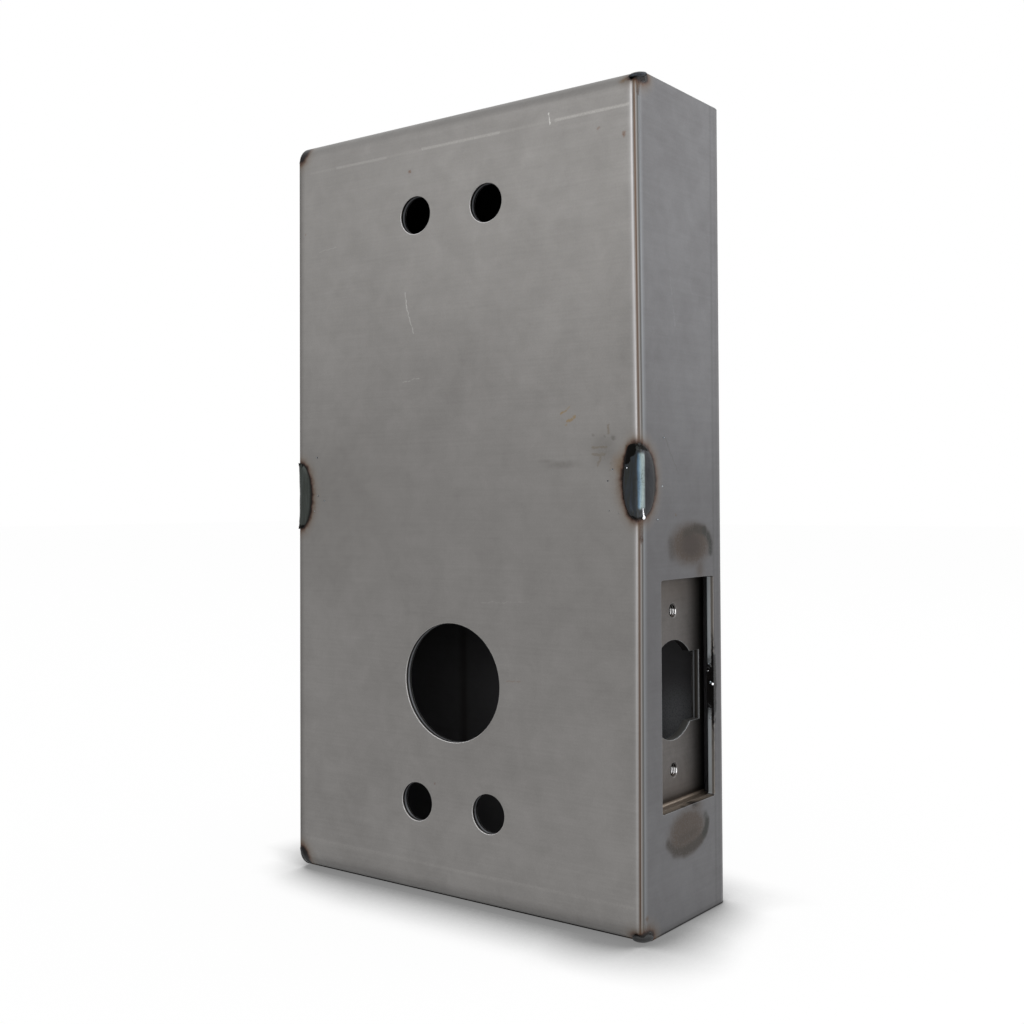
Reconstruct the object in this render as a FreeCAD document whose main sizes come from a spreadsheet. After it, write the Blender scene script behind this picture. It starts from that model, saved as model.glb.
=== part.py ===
import FreeCAD, Part
import Sketcher
import os

# Weld-in gate lock box of folded 12-gauge steel: a front channel and a rear channel close on each
# other, and tack welds hold them. A joggled bracket behind the cutout in one side takes the latch.
# Frame: X across the front, Y from the front to the back, Z up, origin at the middle of the base.

doc = FreeCAD.newDocument("LockBox")

# Driving sizes in millimetres
sizeList = [
    ("boxWidth", 136.5, "across the front face"),
    ("boxDepth", 57.15, "front face to back face"),
    ("boxHeight", 254.0, "base to top"),
    ("sheetThickness", 2.66, "12-gauge sheet"),
    ("bendRadius", 3.34, "inside radius of each folded corner"),
    ("edgeRounding", 1.1, "rolled edge of the front face"),
    ("seamChamfer", 0.7, "bevel on the side panels along the front seam"),
    ("foldLand", 0.5, "full-width flat left behind each fold of the front channel"),
    ("flangeSideGap", 0.2, "each end of a front channel flange to the side panel"),
    ("flangeEndGap", 0.3, "front channel flange to the back panel"),
    ("lockHeight", 69.9, "lock axis above the base"),
    ("latchHeight", 69.5, "latch cutout and bracket above the base"),
    ("lockHole", 38.0, "diameter for the lock body"),
    ("boltHole", 12.5, "diameter for the through bolts"),
    ("boltAcross", 28.8, "bolt spacing across the box"),
    ("boltUp", 192.0, "bolt spacing up the box"),
    ("boltHeight", 30.15, "lower bolts above the base"),
    ("cutoutWidth", 33.7, "latch cutout, front to back"),
    ("cutoutHeight", 69.3, "latch cutout, up the side"),
    ("cutoutCorner", 0.9, "corner radius of the cutout"),
    ("strapWidth", 40.4, "latch bracket, front to back"),
    ("strapBendGap", 0.25, "latch bracket's rear edge to the start of the rear fold"),
    ("strapLength", 88.9, "latch bracket, end to end"),
    ("strapFace", 69.4, "height of the bracket's set-back face"),
    ("joggleOuter", 1.0, "rounding where the bracket steps off the side panel"),
    ("joggleInner", 0.6, "rounding in the corners of the step"),
    ("latchHole", 30.7, "diameter of the latch bolt opening"),
    ("notchReach", 16.9, "latch opening's notch, from the axis to its rear edge"),
    ("notchHeight", 22.0, "latch opening's notch"),
    ("screwHole", 4.2, "tapped holes for the latch plate"),
    ("screwSpacing", 49.0, "between the tapped holes"),
    ("screwChamfer", 0.3, "countersink at the mouth of each tapped hole"),
    ("leftWeldHeight", 130.0, "middle of the left side tack above the base"),
    ("rightWeldHeight", 133.1, "middle of the right side tack above the base"),
    ("sideWeldLength", 24.0, "side tack, up the seam"),
    ("leftWeldAcross", 6.6, "left side tack's reach over the front face"),
    ("rightWeldAcross", 5.4, "right side tack's reach over the front face"),
    ("sideWeldBack", 11.0, "side tack's reach over the side panel"),
    ("sideWeldCrown", 0.7, "how far a side tack stands proud"),
    ("meltDepth", 3.4, "how deep a side tack has melted the front face's edge"),
    ("meltLength", 18.0, "length of that melted edge"),
    ("cornerWeldRadius", 1.7, "half thickness of a corner tack"),
    ("cornerWeldLength", 3.9, "half length of a corner tack"),
    ("cornerWeldInset", 0.8, "corner tack's axis inside the side face"),
    ("cornerWeldSetback", 3.8, "corner tack's middle behind the front face"),
    ("cornerWeldDrop", 2.2, "corner tack's middle from the top or the base"),
    ("cornerWeldSlope", 30.0, "degrees, corner tack to the horizontal"),
    ("footWeldLeg", 2.3, "leg of the weld at each end of the bracket"),
    ("footWeldLength", 10.0, "half length of that weld"),
]

sizes = doc.addObject("Spreadsheet::Sheet", "Sizes")
sizes.Label = "Sizes"
sizeValues = {}
for row, (alias, value, meaning) in enumerate(sizeList, start=1):
    sizes.set(f"A{row}", alias)
    sizes.set(f"B{row}", str(value))
    sizes.setAlias(f"B{row}", alias)
    sizes.set(f"C{row}", meaning)
    sizeValues[alias] = value
doc.recompute()


class Measure:
    """A length made of shares of the driving sizes, as a number and as an expression."""

    def __init__(self, **shares):
        self.shares = {name: share for name, share in shares.items() if share}

    def __add__(self, other):
        names = {**self.shares, **other.shares}
        return Measure(**{name: self.shares.get(name, 0) + other.shares.get(name, 0) for name in names})

    def __sub__(self, other):
        return self + other * -1

    def __mul__(self, factor):
        return Measure(**{name: share * factor for name, share in self.shares.items()})

    def __neg__(self):
        return self * -1

    def value(self):
        return sum(share * sizeValues[name] for name, share in self.shares.items())

    def text(self):
        return " + ".join(f"Sizes.{name} * ({share})" for name, share in self.shares.items()) or "0"


# Places that several sub-parts share, in the frame of the box
nothing = Measure()
sheet = Measure(sheetThickness=1)
bendOuter = Measure(sheetThickness=1, bendRadius=1)
halfWidth = Measure(boxWidth=0.5)
halfHeight = Measure(boxHeight=0.5)
frontFace = Measure(boxDepth=-0.5)
backFace = Measure(boxDepth=0.5)
foldEnd = frontFace + bendOuter + Measure(foldLand=1)
strapMiddle = backFace - bendOuter - Measure(strapBendGap=1) - Measure(strapWidth=0.5)
lockAxis = Measure(lockHeight=1) - halfHeight
latchAxis = Measure(latchHeight=1) - halfHeight
lowerBolts = Measure(boltHeight=1) - halfHeight
upperBolts = lowerBolts + Measure(boltUp=1)
sideWeldAxes = {-1: Measure(leftWeldHeight=1), 1: Measure(rightWeldHeight=1)}
sideWeldReaches = {-1: Measure(leftWeldAcross=1), 1: Measure(rightWeldAcross=1)}
overshoot = Measure(sheetThickness=0.5)
roundedShare = 0.92  # rounding of a corner or bracket bead, to its half thickness
tackShare = 0.45  # rounding of a side tack, to its width over the front


def newBody(label, x, y, z):
    body = doc.addObject("PartDesign::Body", label)
    body.Label = label
    for axis, place in (("x", x), ("y", y), ("z", z)):
        body.setExpression(f"Placement.Base.{axis}", place.text())
    doc.recompute()
    return body


def newSketch(body, plane, name):
    sketch = body.newObject("Sketcher::SketchObject", name)
    support = [item for item in body.Origin.OriginFeatures if item.Role == plane][0]
    sketch.AttachmentSupport = [(support, "")]
    sketch.MapMode = "FlatFace"
    return sketch


def dimension(sketch, kind, geometry, point, place):
    """Dimension one point of the sketch from its origin, and bind it to the sheet."""
    if not place.shares:
        otherAxis = -2 if kind == "DistanceX" else -1
        sketch.addConstraint(Sketcher.Constraint("PointOnObject", geometry, point, otherAxis))
        return
    index = sketch.addConstraint(Sketcher.Constraint(kind, -1, 1, geometry, point, place.value()))
    sketch.setExpression(f"Constraints[{index}]", place.text())


def addLoop(sketch, corners):
    """Closed outline of straight edges, dimensioned from the sketch's origin."""
    first = sketch.GeometryCount
    count = len(corners)
    points = [FreeCAD.Vector(x.value(), y.value(), 0) for x, y in corners]
    for index in range(count):
        sketch.addGeometry(Part.LineSegment(points[index], points[(index + 1) % count]), False)
    for index in range(count):
        following = first + (index + 1) % count
        sketch.addConstraint(Sketcher.Constraint("Coincident", first + index, 2, following, 1))
    for index in range(count):
        x, y = corners[index]
        lastX, lastY = corners[index - 1]
        upright = index > 0 and lastX.shares == x.shares
        level = index > 0 and lastY.shares == y.shares
        if upright:
            sketch.addConstraint(Sketcher.Constraint("Vertical", first + index - 1))
        else:
            dimension(sketch, "DistanceX", first + index, 1, x)
        if level:
            sketch.addConstraint(Sketcher.Constraint("Horizontal", first + index - 1))
        else:
            dimension(sketch, "DistanceY", first + index, 1, y)


def addCircle(sketch, x, y, diameter):
    centre = FreeCAD.Vector(x.value(), y.value(), 0)
    normal = FreeCAD.Vector(0, 0, 1)
    circle = sketch.addGeometry(Part.Circle(centre, normal, diameter.value() / 2), False)
    index = sketch.addConstraint(Sketcher.Constraint("Diameter", circle, diameter.value()))
    sketch.setExpression(f"Constraints[{index}]", diameter.text())
    dimension(sketch, "DistanceX", circle, 3, x)
    dimension(sketch, "DistanceY", circle, 3, y)


def padBothWays(body, sketch, name, length):
    pad = body.newObject("PartDesign::Pad", name)
    pad.Profile = sketch
    pad.SideType = "Symmetric"
    pad.setExpression("Length", length.text())
    doc.recompute()
    return pad


def pocketThrough(body, sketch, name, bothWays=True):
    """Pocket through all, and stop if it leaves the solid as it was."""
    before = body.Shape.Volume
    pocket = body.newObject("PartDesign::Pocket", name)
    pocket.Profile = sketch
    pocket.Type = "ThroughAll"
    if bothWays:
        pocket.SideType = "Symmetric"
    else:
        pocket.Reversed = True
    doc.recompute()
    if body.Shape.Volume > before - 0.01:
        raise RuntimeError(f"{name} cuts nothing")
    return pocket


def edgesWhere(feature, wanted):
    """Names of the feature's straight or round edges whose middle passes the test."""
    names = []
    for index, edge in enumerate(feature.Shape.Edges, start=1):
        middle = edge.BoundBox.Center
        spans = (edge.BoundBox.XLength, edge.BoundBox.YLength, edge.BoundBox.ZLength)
        if wanted(middle, spans):
            names.append(f"Edge{index}")
    if not names:
        raise RuntimeError(f"no edge found on {feature.Label}")
    return names


def dressEdges(body, kind, name, feature, wanted, radius):
    """Fillet or Chamfer on the edges that pass the test, its size bound to the sheet."""
    dress = body.newObject(f"PartDesign::{kind}", name)
    dress.Base = (feature, edgesWhere(feature, wanted))
    dress.setExpression("Radius" if kind == "Fillet" else "Size", radius.text())
    doc.recompute()
    if "Invalid" in dress.State:
        raise RuntimeError(f"{name} of {body.Label} fails")
    return dress


def near(value, place):
    return abs(value - place.value()) < 0.01


def addPanelHoles(sketch):
    """The lock hole and the four bolt holes, alike in the front and the back panel."""
    addCircle(sketch, nothing, lockAxis, Measure(lockHole=1))
    for side in (-0.5, 0.5):
        for level in (lowerBolts, upperBolts):
            addCircle(sketch, Measure(boltAcross=side), level, Measure(boltHole=1))


def makeFrontChannel():
    """Front face with a flange folded back along its top and its bottom edge."""
    body = newBody("front_channel", nothing, nothing, halfHeight)
    innerFace = frontFace + sheet
    flangeEnd = backFace - sheet - Measure(flangeEndGap=1)
    innerHeight = halfHeight - sheet

    profile = newSketch(body, "YZ_Plane", "ChannelProfile")
    addLoop(profile, [(frontFace, -halfHeight), (flangeEnd, -halfHeight), (flangeEnd, -innerHeight),
                      (innerFace, -innerHeight), (innerFace, innerHeight), (flangeEnd, innerHeight),
                      (flangeEnd, halfHeight), (frontFace, halfHeight)])
    pad = padBothWays(body, profile, "ChannelPad", Measure(boxWidth=1))

    outerBend = dressEdges(body, "Fillet", "OuterBends", pad,
                           lambda at, spans: spans[0] > 1 and near(at.y, frontFace), bendOuter)
    innerBend = dressEdges(body, "Fillet", "InnerBends", outerBend,
                           lambda at, spans: spans[0] > 1 and near(at.y, innerFace), Measure(bendRadius=1))

    # The flanges go in between the side panels, clear of their folds, and the front's own folds
    # keep the full width
    notches = newSketch(body, "XY_Plane", "FlangeNotches")
    notchSide = halfWidth - sheet - Measure(flangeSideGap=1)
    notchBack = backFace + overshoot
    for side in (-1, 1):
        inner, outer = notchSide * side, (halfWidth + overshoot) * side
        addLoop(notches, [(inner, foldEnd), (outer, foldEnd), (outer, notchBack), (inner, notchBack)])
    notched = pocketThrough(body, notches, "FlangeNotchCut")

    clipped = dressEdges(body, "Chamfer", "ClippedFlanges", notched,
                         lambda at, spans: near(at.y, flangeEnd) and spans[0] < 0.01, Measure(bendRadius=1))
    dressEdges(body, "Fillet", "RolledEdges", clipped,
               lambda at, spans: near(at.y, frontFace) and spans[2] > 1 and spans[0] < 0.01,
               Measure(edgeRounding=1))

    holes = newSketch(body, "XZ_Plane", "PanelHoles")
    addPanelHoles(holes)
    # Each side tack has melted a shallow arc out of the edge it sits on
    for side in (-1, 1):
        meltRadius = Measure(meltLength=0.75)
        middle = (halfWidth - Measure(meltDepth=1) + meltRadius) * side
        addCircle(holes, middle, sideWeldAxes[side] - halfHeight, meltRadius * 2)
    pocketThrough(body, holes, "PanelHoleCut")
    return body


def makeRearChannel():
    """Back panel and both side panels, folded from one sheet, with the latch cutout."""
    body = newBody("rear_channel", nothing, nothing, halfHeight)
    seam = frontFace + sheet
    innerSide = halfWidth - sheet
    innerBack = backFace - sheet
    bevel = Measure(seamChamfer=1)

    plan = newSketch(body, "XY_Plane", "ChannelPlan")
    addLoop(plan, [(-halfWidth, seam + bevel), (-halfWidth, backFace), (halfWidth, backFace),
                   (halfWidth, seam + bevel), (halfWidth - bevel, seam), (innerSide, seam),
                   (innerSide, innerBack), (-innerSide, innerBack), (-innerSide, seam),
                   (bevel - halfWidth, seam)])
    pad = padBothWays(body, plan, "ChannelPad", Measure(boxHeight=1))
    outerBend = dressEdges(body, "Fillet", "OuterBends", pad,
                           lambda at, spans: spans[2] > 1 and near(at.y, backFace), bendOuter)
    innerBend = dressEdges(body, "Fillet", "InnerBends", outerBend,
                           lambda at, spans: spans[2] > 1 and near(at.y, innerBack), Measure(bendRadius=1))

    # Front corners of the side panels, cut to sit inside the folds of the front channel
    copes = newSketch(body, "YZ_Plane", "CornerCopes")
    copeHeight = halfHeight - sheet
    for side in (-1, 1):
        low, high = copeHeight * side, (halfHeight + overshoot) * side
        addLoop(copes, [(seam - overshoot, low), (foldEnd, low), (foldEnd, high), (seam - overshoot, high)])
    coped = pocketThrough(body, copes, "CornerCopeCut")
    dressEdges(body, "Fillet", "CopeRounding", coped,
               lambda at, spans: near(at.y, seam) and near(abs(at.z), copeHeight) and spans[2] < 0.01
               and spans[0] > 0.5 * sheet.value() and spans[1] < 0.01, Measure(bendRadius=1))

    cutout = newSketch(body, "YZ_Plane", "LatchCutout")
    halfCut = Measure(cutoutWidth=0.5)
    halfCutUp = Measure(cutoutHeight=0.5)
    cutFront, cutRear = strapMiddle - halfCut, strapMiddle + halfCut
    cutLow, cutHigh = latchAxis - halfCutUp, latchAxis + halfCutUp
    addLoop(cutout, [(cutFront, cutLow), (cutRear, cutLow), (cutRear, cutHigh), (cutFront, cutHigh)])
    opened = pocketThrough(body, cutout, "LatchCutoutCut", bothWays=False)
    dressEdges(body, "Fillet", "CutoutCorners", opened,
               lambda at, spans: near(abs(at.y - strapMiddle.value()), halfCut)
               and near(abs(at.z - latchAxis.value()), halfCutUp) and spans[1] < 0.01 and spans[2] < 0.01,
               Measure(cutoutCorner=1))

    holes = newSketch(body, "XZ_Plane", "PanelHoles")
    addPanelHoles(holes)
    pocketThrough(body, holes, "PanelHoleCut")
    return body


def makeLatchBracket():
    """Strap welded inside the side panel, stepped in by one thickness behind the cutout."""
    body = newBody("latch_bracket", halfWidth - sheet, strapMiddle, Measure(latchHeight=1))
    end = Measure(strapLength=0.5)
    step = Measure(strapFace=0.5)
    web = step + sheet

    profile = newSketch(body, "XZ_Plane", "StrapProfile")
    addLoop(profile, [(nothing, end), (nothing, step), (-sheet, step), (-sheet, -step), (nothing, -step),
                      (nothing, -end), (-sheet, -end), (-sheet, -web), (sheet * -2, -web), (sheet * -2, web),
                      (-sheet, web), (-sheet, end)])
    pad = padBothWays(body, profile, "StrapPad", Measure(strapWidth=1))
    outer = dressEdges(body, "Fillet", "JoggleOuter", pad,
                       lambda at, spans: spans[1] > 1 and
                       ((near(at.x, nothing) and near(abs(at.z), step)) or
                        (near(at.x, sheet * -2) and near(abs(at.z), web))), Measure(joggleOuter=1))
    dressEdges(body, "Fillet", "JoggleInner", outer,
               lambda at, spans: spans[1] > 1 and near(at.x, -sheet) and not near(abs(at.z), end),
               Measure(joggleInner=1))

    latchHole = newSketch(body, "YZ_Plane", "LatchHole")
    addCircle(latchHole, nothing, nothing, Measure(latchHole=1))
    for side in (-0.5, 0.5):
        addCircle(latchHole, nothing, Measure(screwSpacing=side), Measure(screwHole=1))
    pocketThrough(body, latchHole, "LatchHoleCut")

    notch = newSketch(body, "YZ_Plane", "LatchNotch")
    notchRear = Measure(notchReach=1)
    halfNotch = Measure(notchHeight=0.5)
    addLoop(notch, [(nothing, -halfNotch), (notchRear, -halfNotch),
                    (notchRear, halfNotch), (nothing, halfNotch)])
    notched = pocketThrough(body, notch, "LatchNotchCut")

    screwRadius = Measure(screwHole=0.5)
    dressEdges(body, "Chamfer", "ScrewMouths", notched,
               lambda at, spans: near(at.x, -sheet) and spans[0] < 0.01 and near(spans[1] / 2, screwRadius),
               Measure(screwChamfer=1))
    return body


def addCore():
    """The hollow of the box, reaching a little into the sheet, to trim the welds' inner sides."""
    core = doc.addObject("Part::Box", "BoxCore")
    inset = Measure(sheetThickness=0.7)
    for edge, span in (("Length", "boxWidth"), ("Width", "boxDepth"), ("Height", "boxHeight")):
        core.setExpression(edge, (Measure(**{span: 1}) - inset * 2).text())
    for axis, place in (("x", inset - halfWidth), ("y", frontFace + inset), ("z", inset)):
        core.setExpression(f"Placement.Base.{axis}", place.text())
    return core


def addGround():
    """Everything under the base, to grind the lower corner tacks flush."""
    ground = doc.addObject("Part::Box", "GroundFlush")
    for edge, span in (("Length", "boxWidth"), ("Width", "boxDepth"), ("Height", "sheetThickness")):
        ground.setExpression(edge, Measure(**{span: 2}).text())
    for axis, place in (("x", Measure(boxWidth=-1)), ("y", Measure(boxDepth=-1)), ("z", sheet * -2)):
        ground.setExpression(f"Placement.Base.{axis}", place.text())
    return ground


def addBead(label, radius, halfLength, x, y, z, tilt=None):
    """A short weld bead along Y before it is trimmed, rounded all over where it is tilted."""
    body = newBody(f"{label}_bead", x, y, z)
    if tilt:
        body.Placement.Rotation = FreeCAD.Rotation(FreeCAD.Vector(1, 0, 0), 90)
        body.setExpression("Placement.Rotation.Angle", tilt)
    section = newSketch(body, "XZ_Plane", "BeadSection")
    addLoop(section, [(-radius, -radius), (radius, -radius), (radius, radius), (-radius, radius)])
    pad = padBothWays(body, section, "BeadPad", halfLength * 2)
    dressEdges(body, "Fillet", "BeadRounding", pad,
               lambda at, spans: bool(tilt) or spans[1] > halfLength.value(), radius * roundedShare)
    return body


def trimWeld(label, bead, neighbours):
    """Cut the bead back to the faces of the steel that it joins."""
    around = doc.addObject("Part::MultiFuse", f"{label}_around")
    around.Shapes = neighbours
    weld = doc.addObject("Part::Cut", label)
    weld.Base = bead
    weld.Tool = around
    weld.Label = label
    doc.recompute()
    return weld


def makeSideWeld(label, side):
    """Broad low tack over the seam at mid height, wrapped round the box's edge."""
    crown = Measure(sideWeldCrown=1)
    body = newBody(f"{label}_bead", halfWidth * side, frontFace, sideWeldAxes[side])
    plan = newSketch(body, "XY_Plane", "TackPlan")
    inner, outer = sideWeldReaches[side] * -side, crown * side
    front, back = -crown, Measure(sideWeldBack=1)
    addLoop(plan, [(inner, front), (outer, front), (outer, back), (inner, back)])
    pad = padBothWays(body, plan, "TackPad", Measure(sideWeldLength=1))
    dressEdges(body, "Fillet", "TackRounding", pad, lambda at, spans: True,
               (sideWeldReaches[side] + crown) * tackShare)
    return trimWeld(label, body, [frontChannel, rearChannel, core])


def makeCornerWeld(label, side, upper):
    """Short bead along the end of a fold, where it lies on the side panel's corner."""
    drop = Measure(cornerWeldDrop=1)
    height = Measure(boxHeight=1) - drop if upper else drop
    tilt = "Sizes.cornerWeldSlope" if upper else "180 - Sizes.cornerWeldSlope"
    bead = addBead(label, Measure(cornerWeldRadius=1), Measure(cornerWeldLength=1),
                   (halfWidth - Measure(cornerWeldInset=1)) * side,
                   frontFace + Measure(cornerWeldSetback=1), height, tilt)
    if not upper:
        flush = doc.addObject("Part::Cut", f"{label}_flush")
        flush.Base = bead
        flush.Tool = ground
        bead = flush
    return trimWeld(label, bead, [frontChannel, rearChannel, core])


def makeFootWeld(label, side):
    """Fillet weld between the end of the latch bracket and the side panel."""
    bead = addBead(label, Measure(footWeldLeg=1), Measure(footWeldLength=1), halfWidth - sheet, strapMiddle,
                   Measure(latchHeight=1, strapLength=0.5 * side))
    return trimWeld(label, bead, [rearChannel, latchBracket])


frontChannel = makeFrontChannel()
rearChannel = makeRearChannel()
latchBracket = makeLatchBracket()
core = addCore()
ground = addGround()
parts = [frontChannel, rearChannel, latchBracket]

for sideName, side in (("left", -1), ("right", 1)):
    parts.append(makeSideWeld(f"side_weld_{sideName}", side))
    for levelName, upper in (("top", True), ("bottom", False)):
        parts.append(makeCornerWeld(f"corner_weld_{levelName}_{sideName}", side, upper))
for endName, side in (("upper", 1), ("lower", -1)):
    parts.append(makeFootWeld(f"bracket_weld_{endName}", side))

doc.recompute()
for item in doc.Objects:
    if "Invalid" in item.State or "Error" in item.State:
        raise RuntimeError(f"{item.Label}: {item.State}")
os.makedirs("parts", exist_ok=True)
for part in parts:
    shape = part.Shape
    if shape.isNull() or not shape.isValid() or len(shape.Solids) != 1:
        raise RuntimeError(f"{part.Label} is not one valid solid")
    shape.exportStep(f"parts/{part.Label}.step")
    box = shape.BoundBox
    print(f"{part.Label}: {shape.Volume:.1f} mm3, x {box.XMin:.2f} to {box.XMax:.2f}, "
          f"y {box.YMin:.2f} to {box.YMax:.2f}, z {box.ZMin:.2f} to {box.ZMax:.2f}")
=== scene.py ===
import math
import random

import bpy
import bmesh
from mathutils import Matrix, Vector, noise


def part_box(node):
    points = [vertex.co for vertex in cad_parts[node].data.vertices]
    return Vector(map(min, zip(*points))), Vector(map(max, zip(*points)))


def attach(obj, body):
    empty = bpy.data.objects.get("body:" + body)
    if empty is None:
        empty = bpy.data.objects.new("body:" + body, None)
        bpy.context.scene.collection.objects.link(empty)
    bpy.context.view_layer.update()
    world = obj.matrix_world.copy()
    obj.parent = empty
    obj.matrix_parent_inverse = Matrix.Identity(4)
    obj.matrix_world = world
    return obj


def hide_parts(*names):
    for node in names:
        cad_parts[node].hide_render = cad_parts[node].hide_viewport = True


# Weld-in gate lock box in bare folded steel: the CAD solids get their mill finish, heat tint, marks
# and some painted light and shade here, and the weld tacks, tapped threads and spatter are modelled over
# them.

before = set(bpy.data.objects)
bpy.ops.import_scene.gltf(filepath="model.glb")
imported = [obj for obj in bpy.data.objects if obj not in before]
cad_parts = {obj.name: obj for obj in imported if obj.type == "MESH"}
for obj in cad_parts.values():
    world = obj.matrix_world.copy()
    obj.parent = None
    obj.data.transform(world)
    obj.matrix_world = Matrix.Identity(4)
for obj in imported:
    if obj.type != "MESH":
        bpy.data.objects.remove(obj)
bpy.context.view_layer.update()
print("frame loaded,", len(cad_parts), "nodes")

mm = 0.001
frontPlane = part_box("front_channel")[0].y  # outer face of the front sheet
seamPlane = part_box("rear_channel")[0].y  # front edges of the side panels
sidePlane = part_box("rear_channel")[1].x  # outer face of the right side panel
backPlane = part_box("rear_channel")[1].y
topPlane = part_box("rear_channel")[1].z
sheet = seamPlane - frontPlane
strapLow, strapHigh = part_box("latch_bracket")
latchAxisZ = (strapLow.z + strapHigh.z) / 2
latchAxisY = (strapLow.y + strapHigh.y) / 2


def fromHex(text):
    levels = [int(text[i:i + 2], 16) / 255 for i in (1, 3, 5)]
    linear = [v / 12.92 if v <= 0.04045 else ((v + 0.055) / 1.055) ** 2.4 for v in levels]
    return (*linear, 1.0)


def addNode(tree, kind, inputs=(), **settings):
    # shader nodes go by their short names; a node given as an input stands for its first output
    node = tree.nodes.new(kind if "Node" in kind else "ShaderNode" + kind)
    for name, value in settings.items():
        setattr(node, name, value)
    for key, value in inputs.items() if isinstance(inputs, dict) else enumerate(inputs):
        if isinstance(value, bpy.types.Node):
            value = value.outputs[0]
        if isinstance(value, bpy.types.NodeSocket):
            tree.links.new(value, node.inputs[key])
        else:
            node.inputs[key].default_value = value
    return node


def where(tree, *parts):
    # the product of its parts, each a mask, a number or (value, 0 from here, 1 from here)
    mask = None
    for part in parts:
        if isinstance(part, tuple):
            value, start, end = part
            part = addNode(tree, "MapRange", {"Value": value, "From Min": start, "From Max": end})
        mask = part if mask is None else addNode(tree, "Math", [mask, part], operation="MULTIPLY")
    return mask


def startGroup(name, kind, inputs, outputs):
    tree = bpy.data.node_groups.new(name, kind)
    for way, sockets in (("INPUT", inputs), ("OUTPUT", outputs)):
        for socket, socketKind in sockets.items():
            tree.interface.new_socket(socket, in_out=way, socket_type="NodeSocket" + socketKind)
    return tree, addNode(tree, "NodeGroupInput").outputs


def emptyTree(owner):
    owner.use_nodes = True
    owner.node_tree.nodes.clear()
    return owner.node_tree


def addObject(name, data):
    made = bpy.data.objects.new(name, data)
    bpy.context.scene.collection.objects.link(made)
    return made


def evaluatedMesh(obj):
    bpy.context.view_layer.update()
    return bpy.data.meshes.new_from_object(obj.evaluated_get(bpy.context.evaluated_depsgraph_get()))


def onFront(x, z):
    return (x, frontPlane / mm, z)


def onSide(y, z):
    return (sidePlane / mm, y, z)


# Mark groups: a stroke between two points and a soft spot, both in millimetres on the steel
strokeMark, given = startGroup("strokeMark", "ShaderNodeTree", {
    "Point": "Vector", "From": "Vector", "To": "Vector", "Half width": "Float", "Fade": "Float"},
    {"Mask": "Float"})
run = addNode(strokeMark, "VectorMath", [given["To"], given["From"]], operation="SUBTRACT")
offset = addNode(strokeMark, "VectorMath", [given["Point"], given["From"]], operation="SUBTRACT")
along = addNode(strokeMark, "VectorMath", [offset, run], operation="DOT_PRODUCT").outputs["Value"]
whole = addNode(strokeMark, "VectorMath", [run, run], operation="DOT_PRODUCT").outputs["Value"]
share = addNode(strokeMark, "Math", [along, whole], operation="DIVIDE", use_clamp=True)
foot = addNode(strokeMark, "VectorMath", {0: run, "Scale": share}, operation="SCALE")
away = addNode(strokeMark, "VectorMath", [offset, foot], operation="DISTANCE").outputs["Value"]
reach = addNode(strokeMark, "Math", [given["Half width"], given["Fade"]])
fall = addNode(strokeMark, "MapRange", {"Value": away, "From Min": reach, "From Max": given["Half width"]},
               interpolation_type="SMOOTHSTEP")
addNode(strokeMark, "NodeGroupOutput", [fall])

spotMark, given = startGroup("spotMark", "ShaderNodeTree", {
    "Point": "Vector", "Centre": "Vector", "Radii": "Vector", "Fade": "Float"}, {"Mask": "Float"})
offset = addNode(spotMark, "VectorMath", [given["Point"], given["Centre"]], operation="SUBTRACT")
scaled = addNode(spotMark, "VectorMath", [offset, given["Radii"]], operation="DIVIDE")
size = addNode(spotMark, "VectorMath", [scaled], operation="LENGTH").outputs["Value"]
solid = addNode(spotMark, "Math", [1.0, given["Fade"]], operation="SUBTRACT")
fall = addNode(spotMark, "MapRange", {"Value": size, "From Min": 1.0, "From Max": solid},
               interpolation_type="SMOOTHSTEP")
addNode(spotMark, "NodeGroupOutput", [fall])

# Distance in millimetres, outwards over the steel, from the edge of a weld bead
squareness = 2.2  # 2 would be an ellipsoid
beadMark, given = startGroup("beadMark", "ShaderNodeTree", {
    "Point": "Vector", "Centre": "Vector", "Radii": "Vector"}, {"Distance": "Float"})
offset = addNode(beadMark, "VectorMath", [given["Point"], given["Centre"]], operation="SUBTRACT")
scaled = addNode(beadMark, "VectorMath", [offset, given["Radii"]], operation="DIVIDE")
positive = addNode(beadMark, "VectorMath", [scaled], operation="ABSOLUTE")
axes = addNode(beadMark, "SeparateXYZ", [positive])
total = None
for axis in axes.outputs:
    part = addNode(beadMark, "Math", [axis, squareness], operation="POWER")
    total = part if total is None else addNode(beadMark, "Math", [total, part])
near = addNode(beadMark, "Math", [total, 1 / squareness], operation="POWER")
far = addNode(beadMark, "VectorMath", [offset], operation="LENGTH").outputs["Value"]
edge = addNode(beadMark, "Math", [far, near], operation="DIVIDE")
beyond = addNode(beadMark, "Math", [far, edge], operation="SUBTRACT")
addNode(beadMark, "NodeGroupOutput", [beyond])


def addMarks(tree, point, kind, marks):
    # every mark is its group's inputs after Point, then its strength; the strongest wins
    mask = None
    for *values, strength in marks:
        level = where(tree, addNode(tree, "Group", [point, *values], node_tree=kind), strength)
        mask = level if mask is None else addNode(tree, "Math", [mask, level], operation="MAXIMUM")
    return mask


def layColour(tree, colour, mask, hexText):
    return addNode(tree, "Mix", {0: mask, 6: colour, 7: fromHex(hexText)}, data_type="RGBA").outputs[2]


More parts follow.
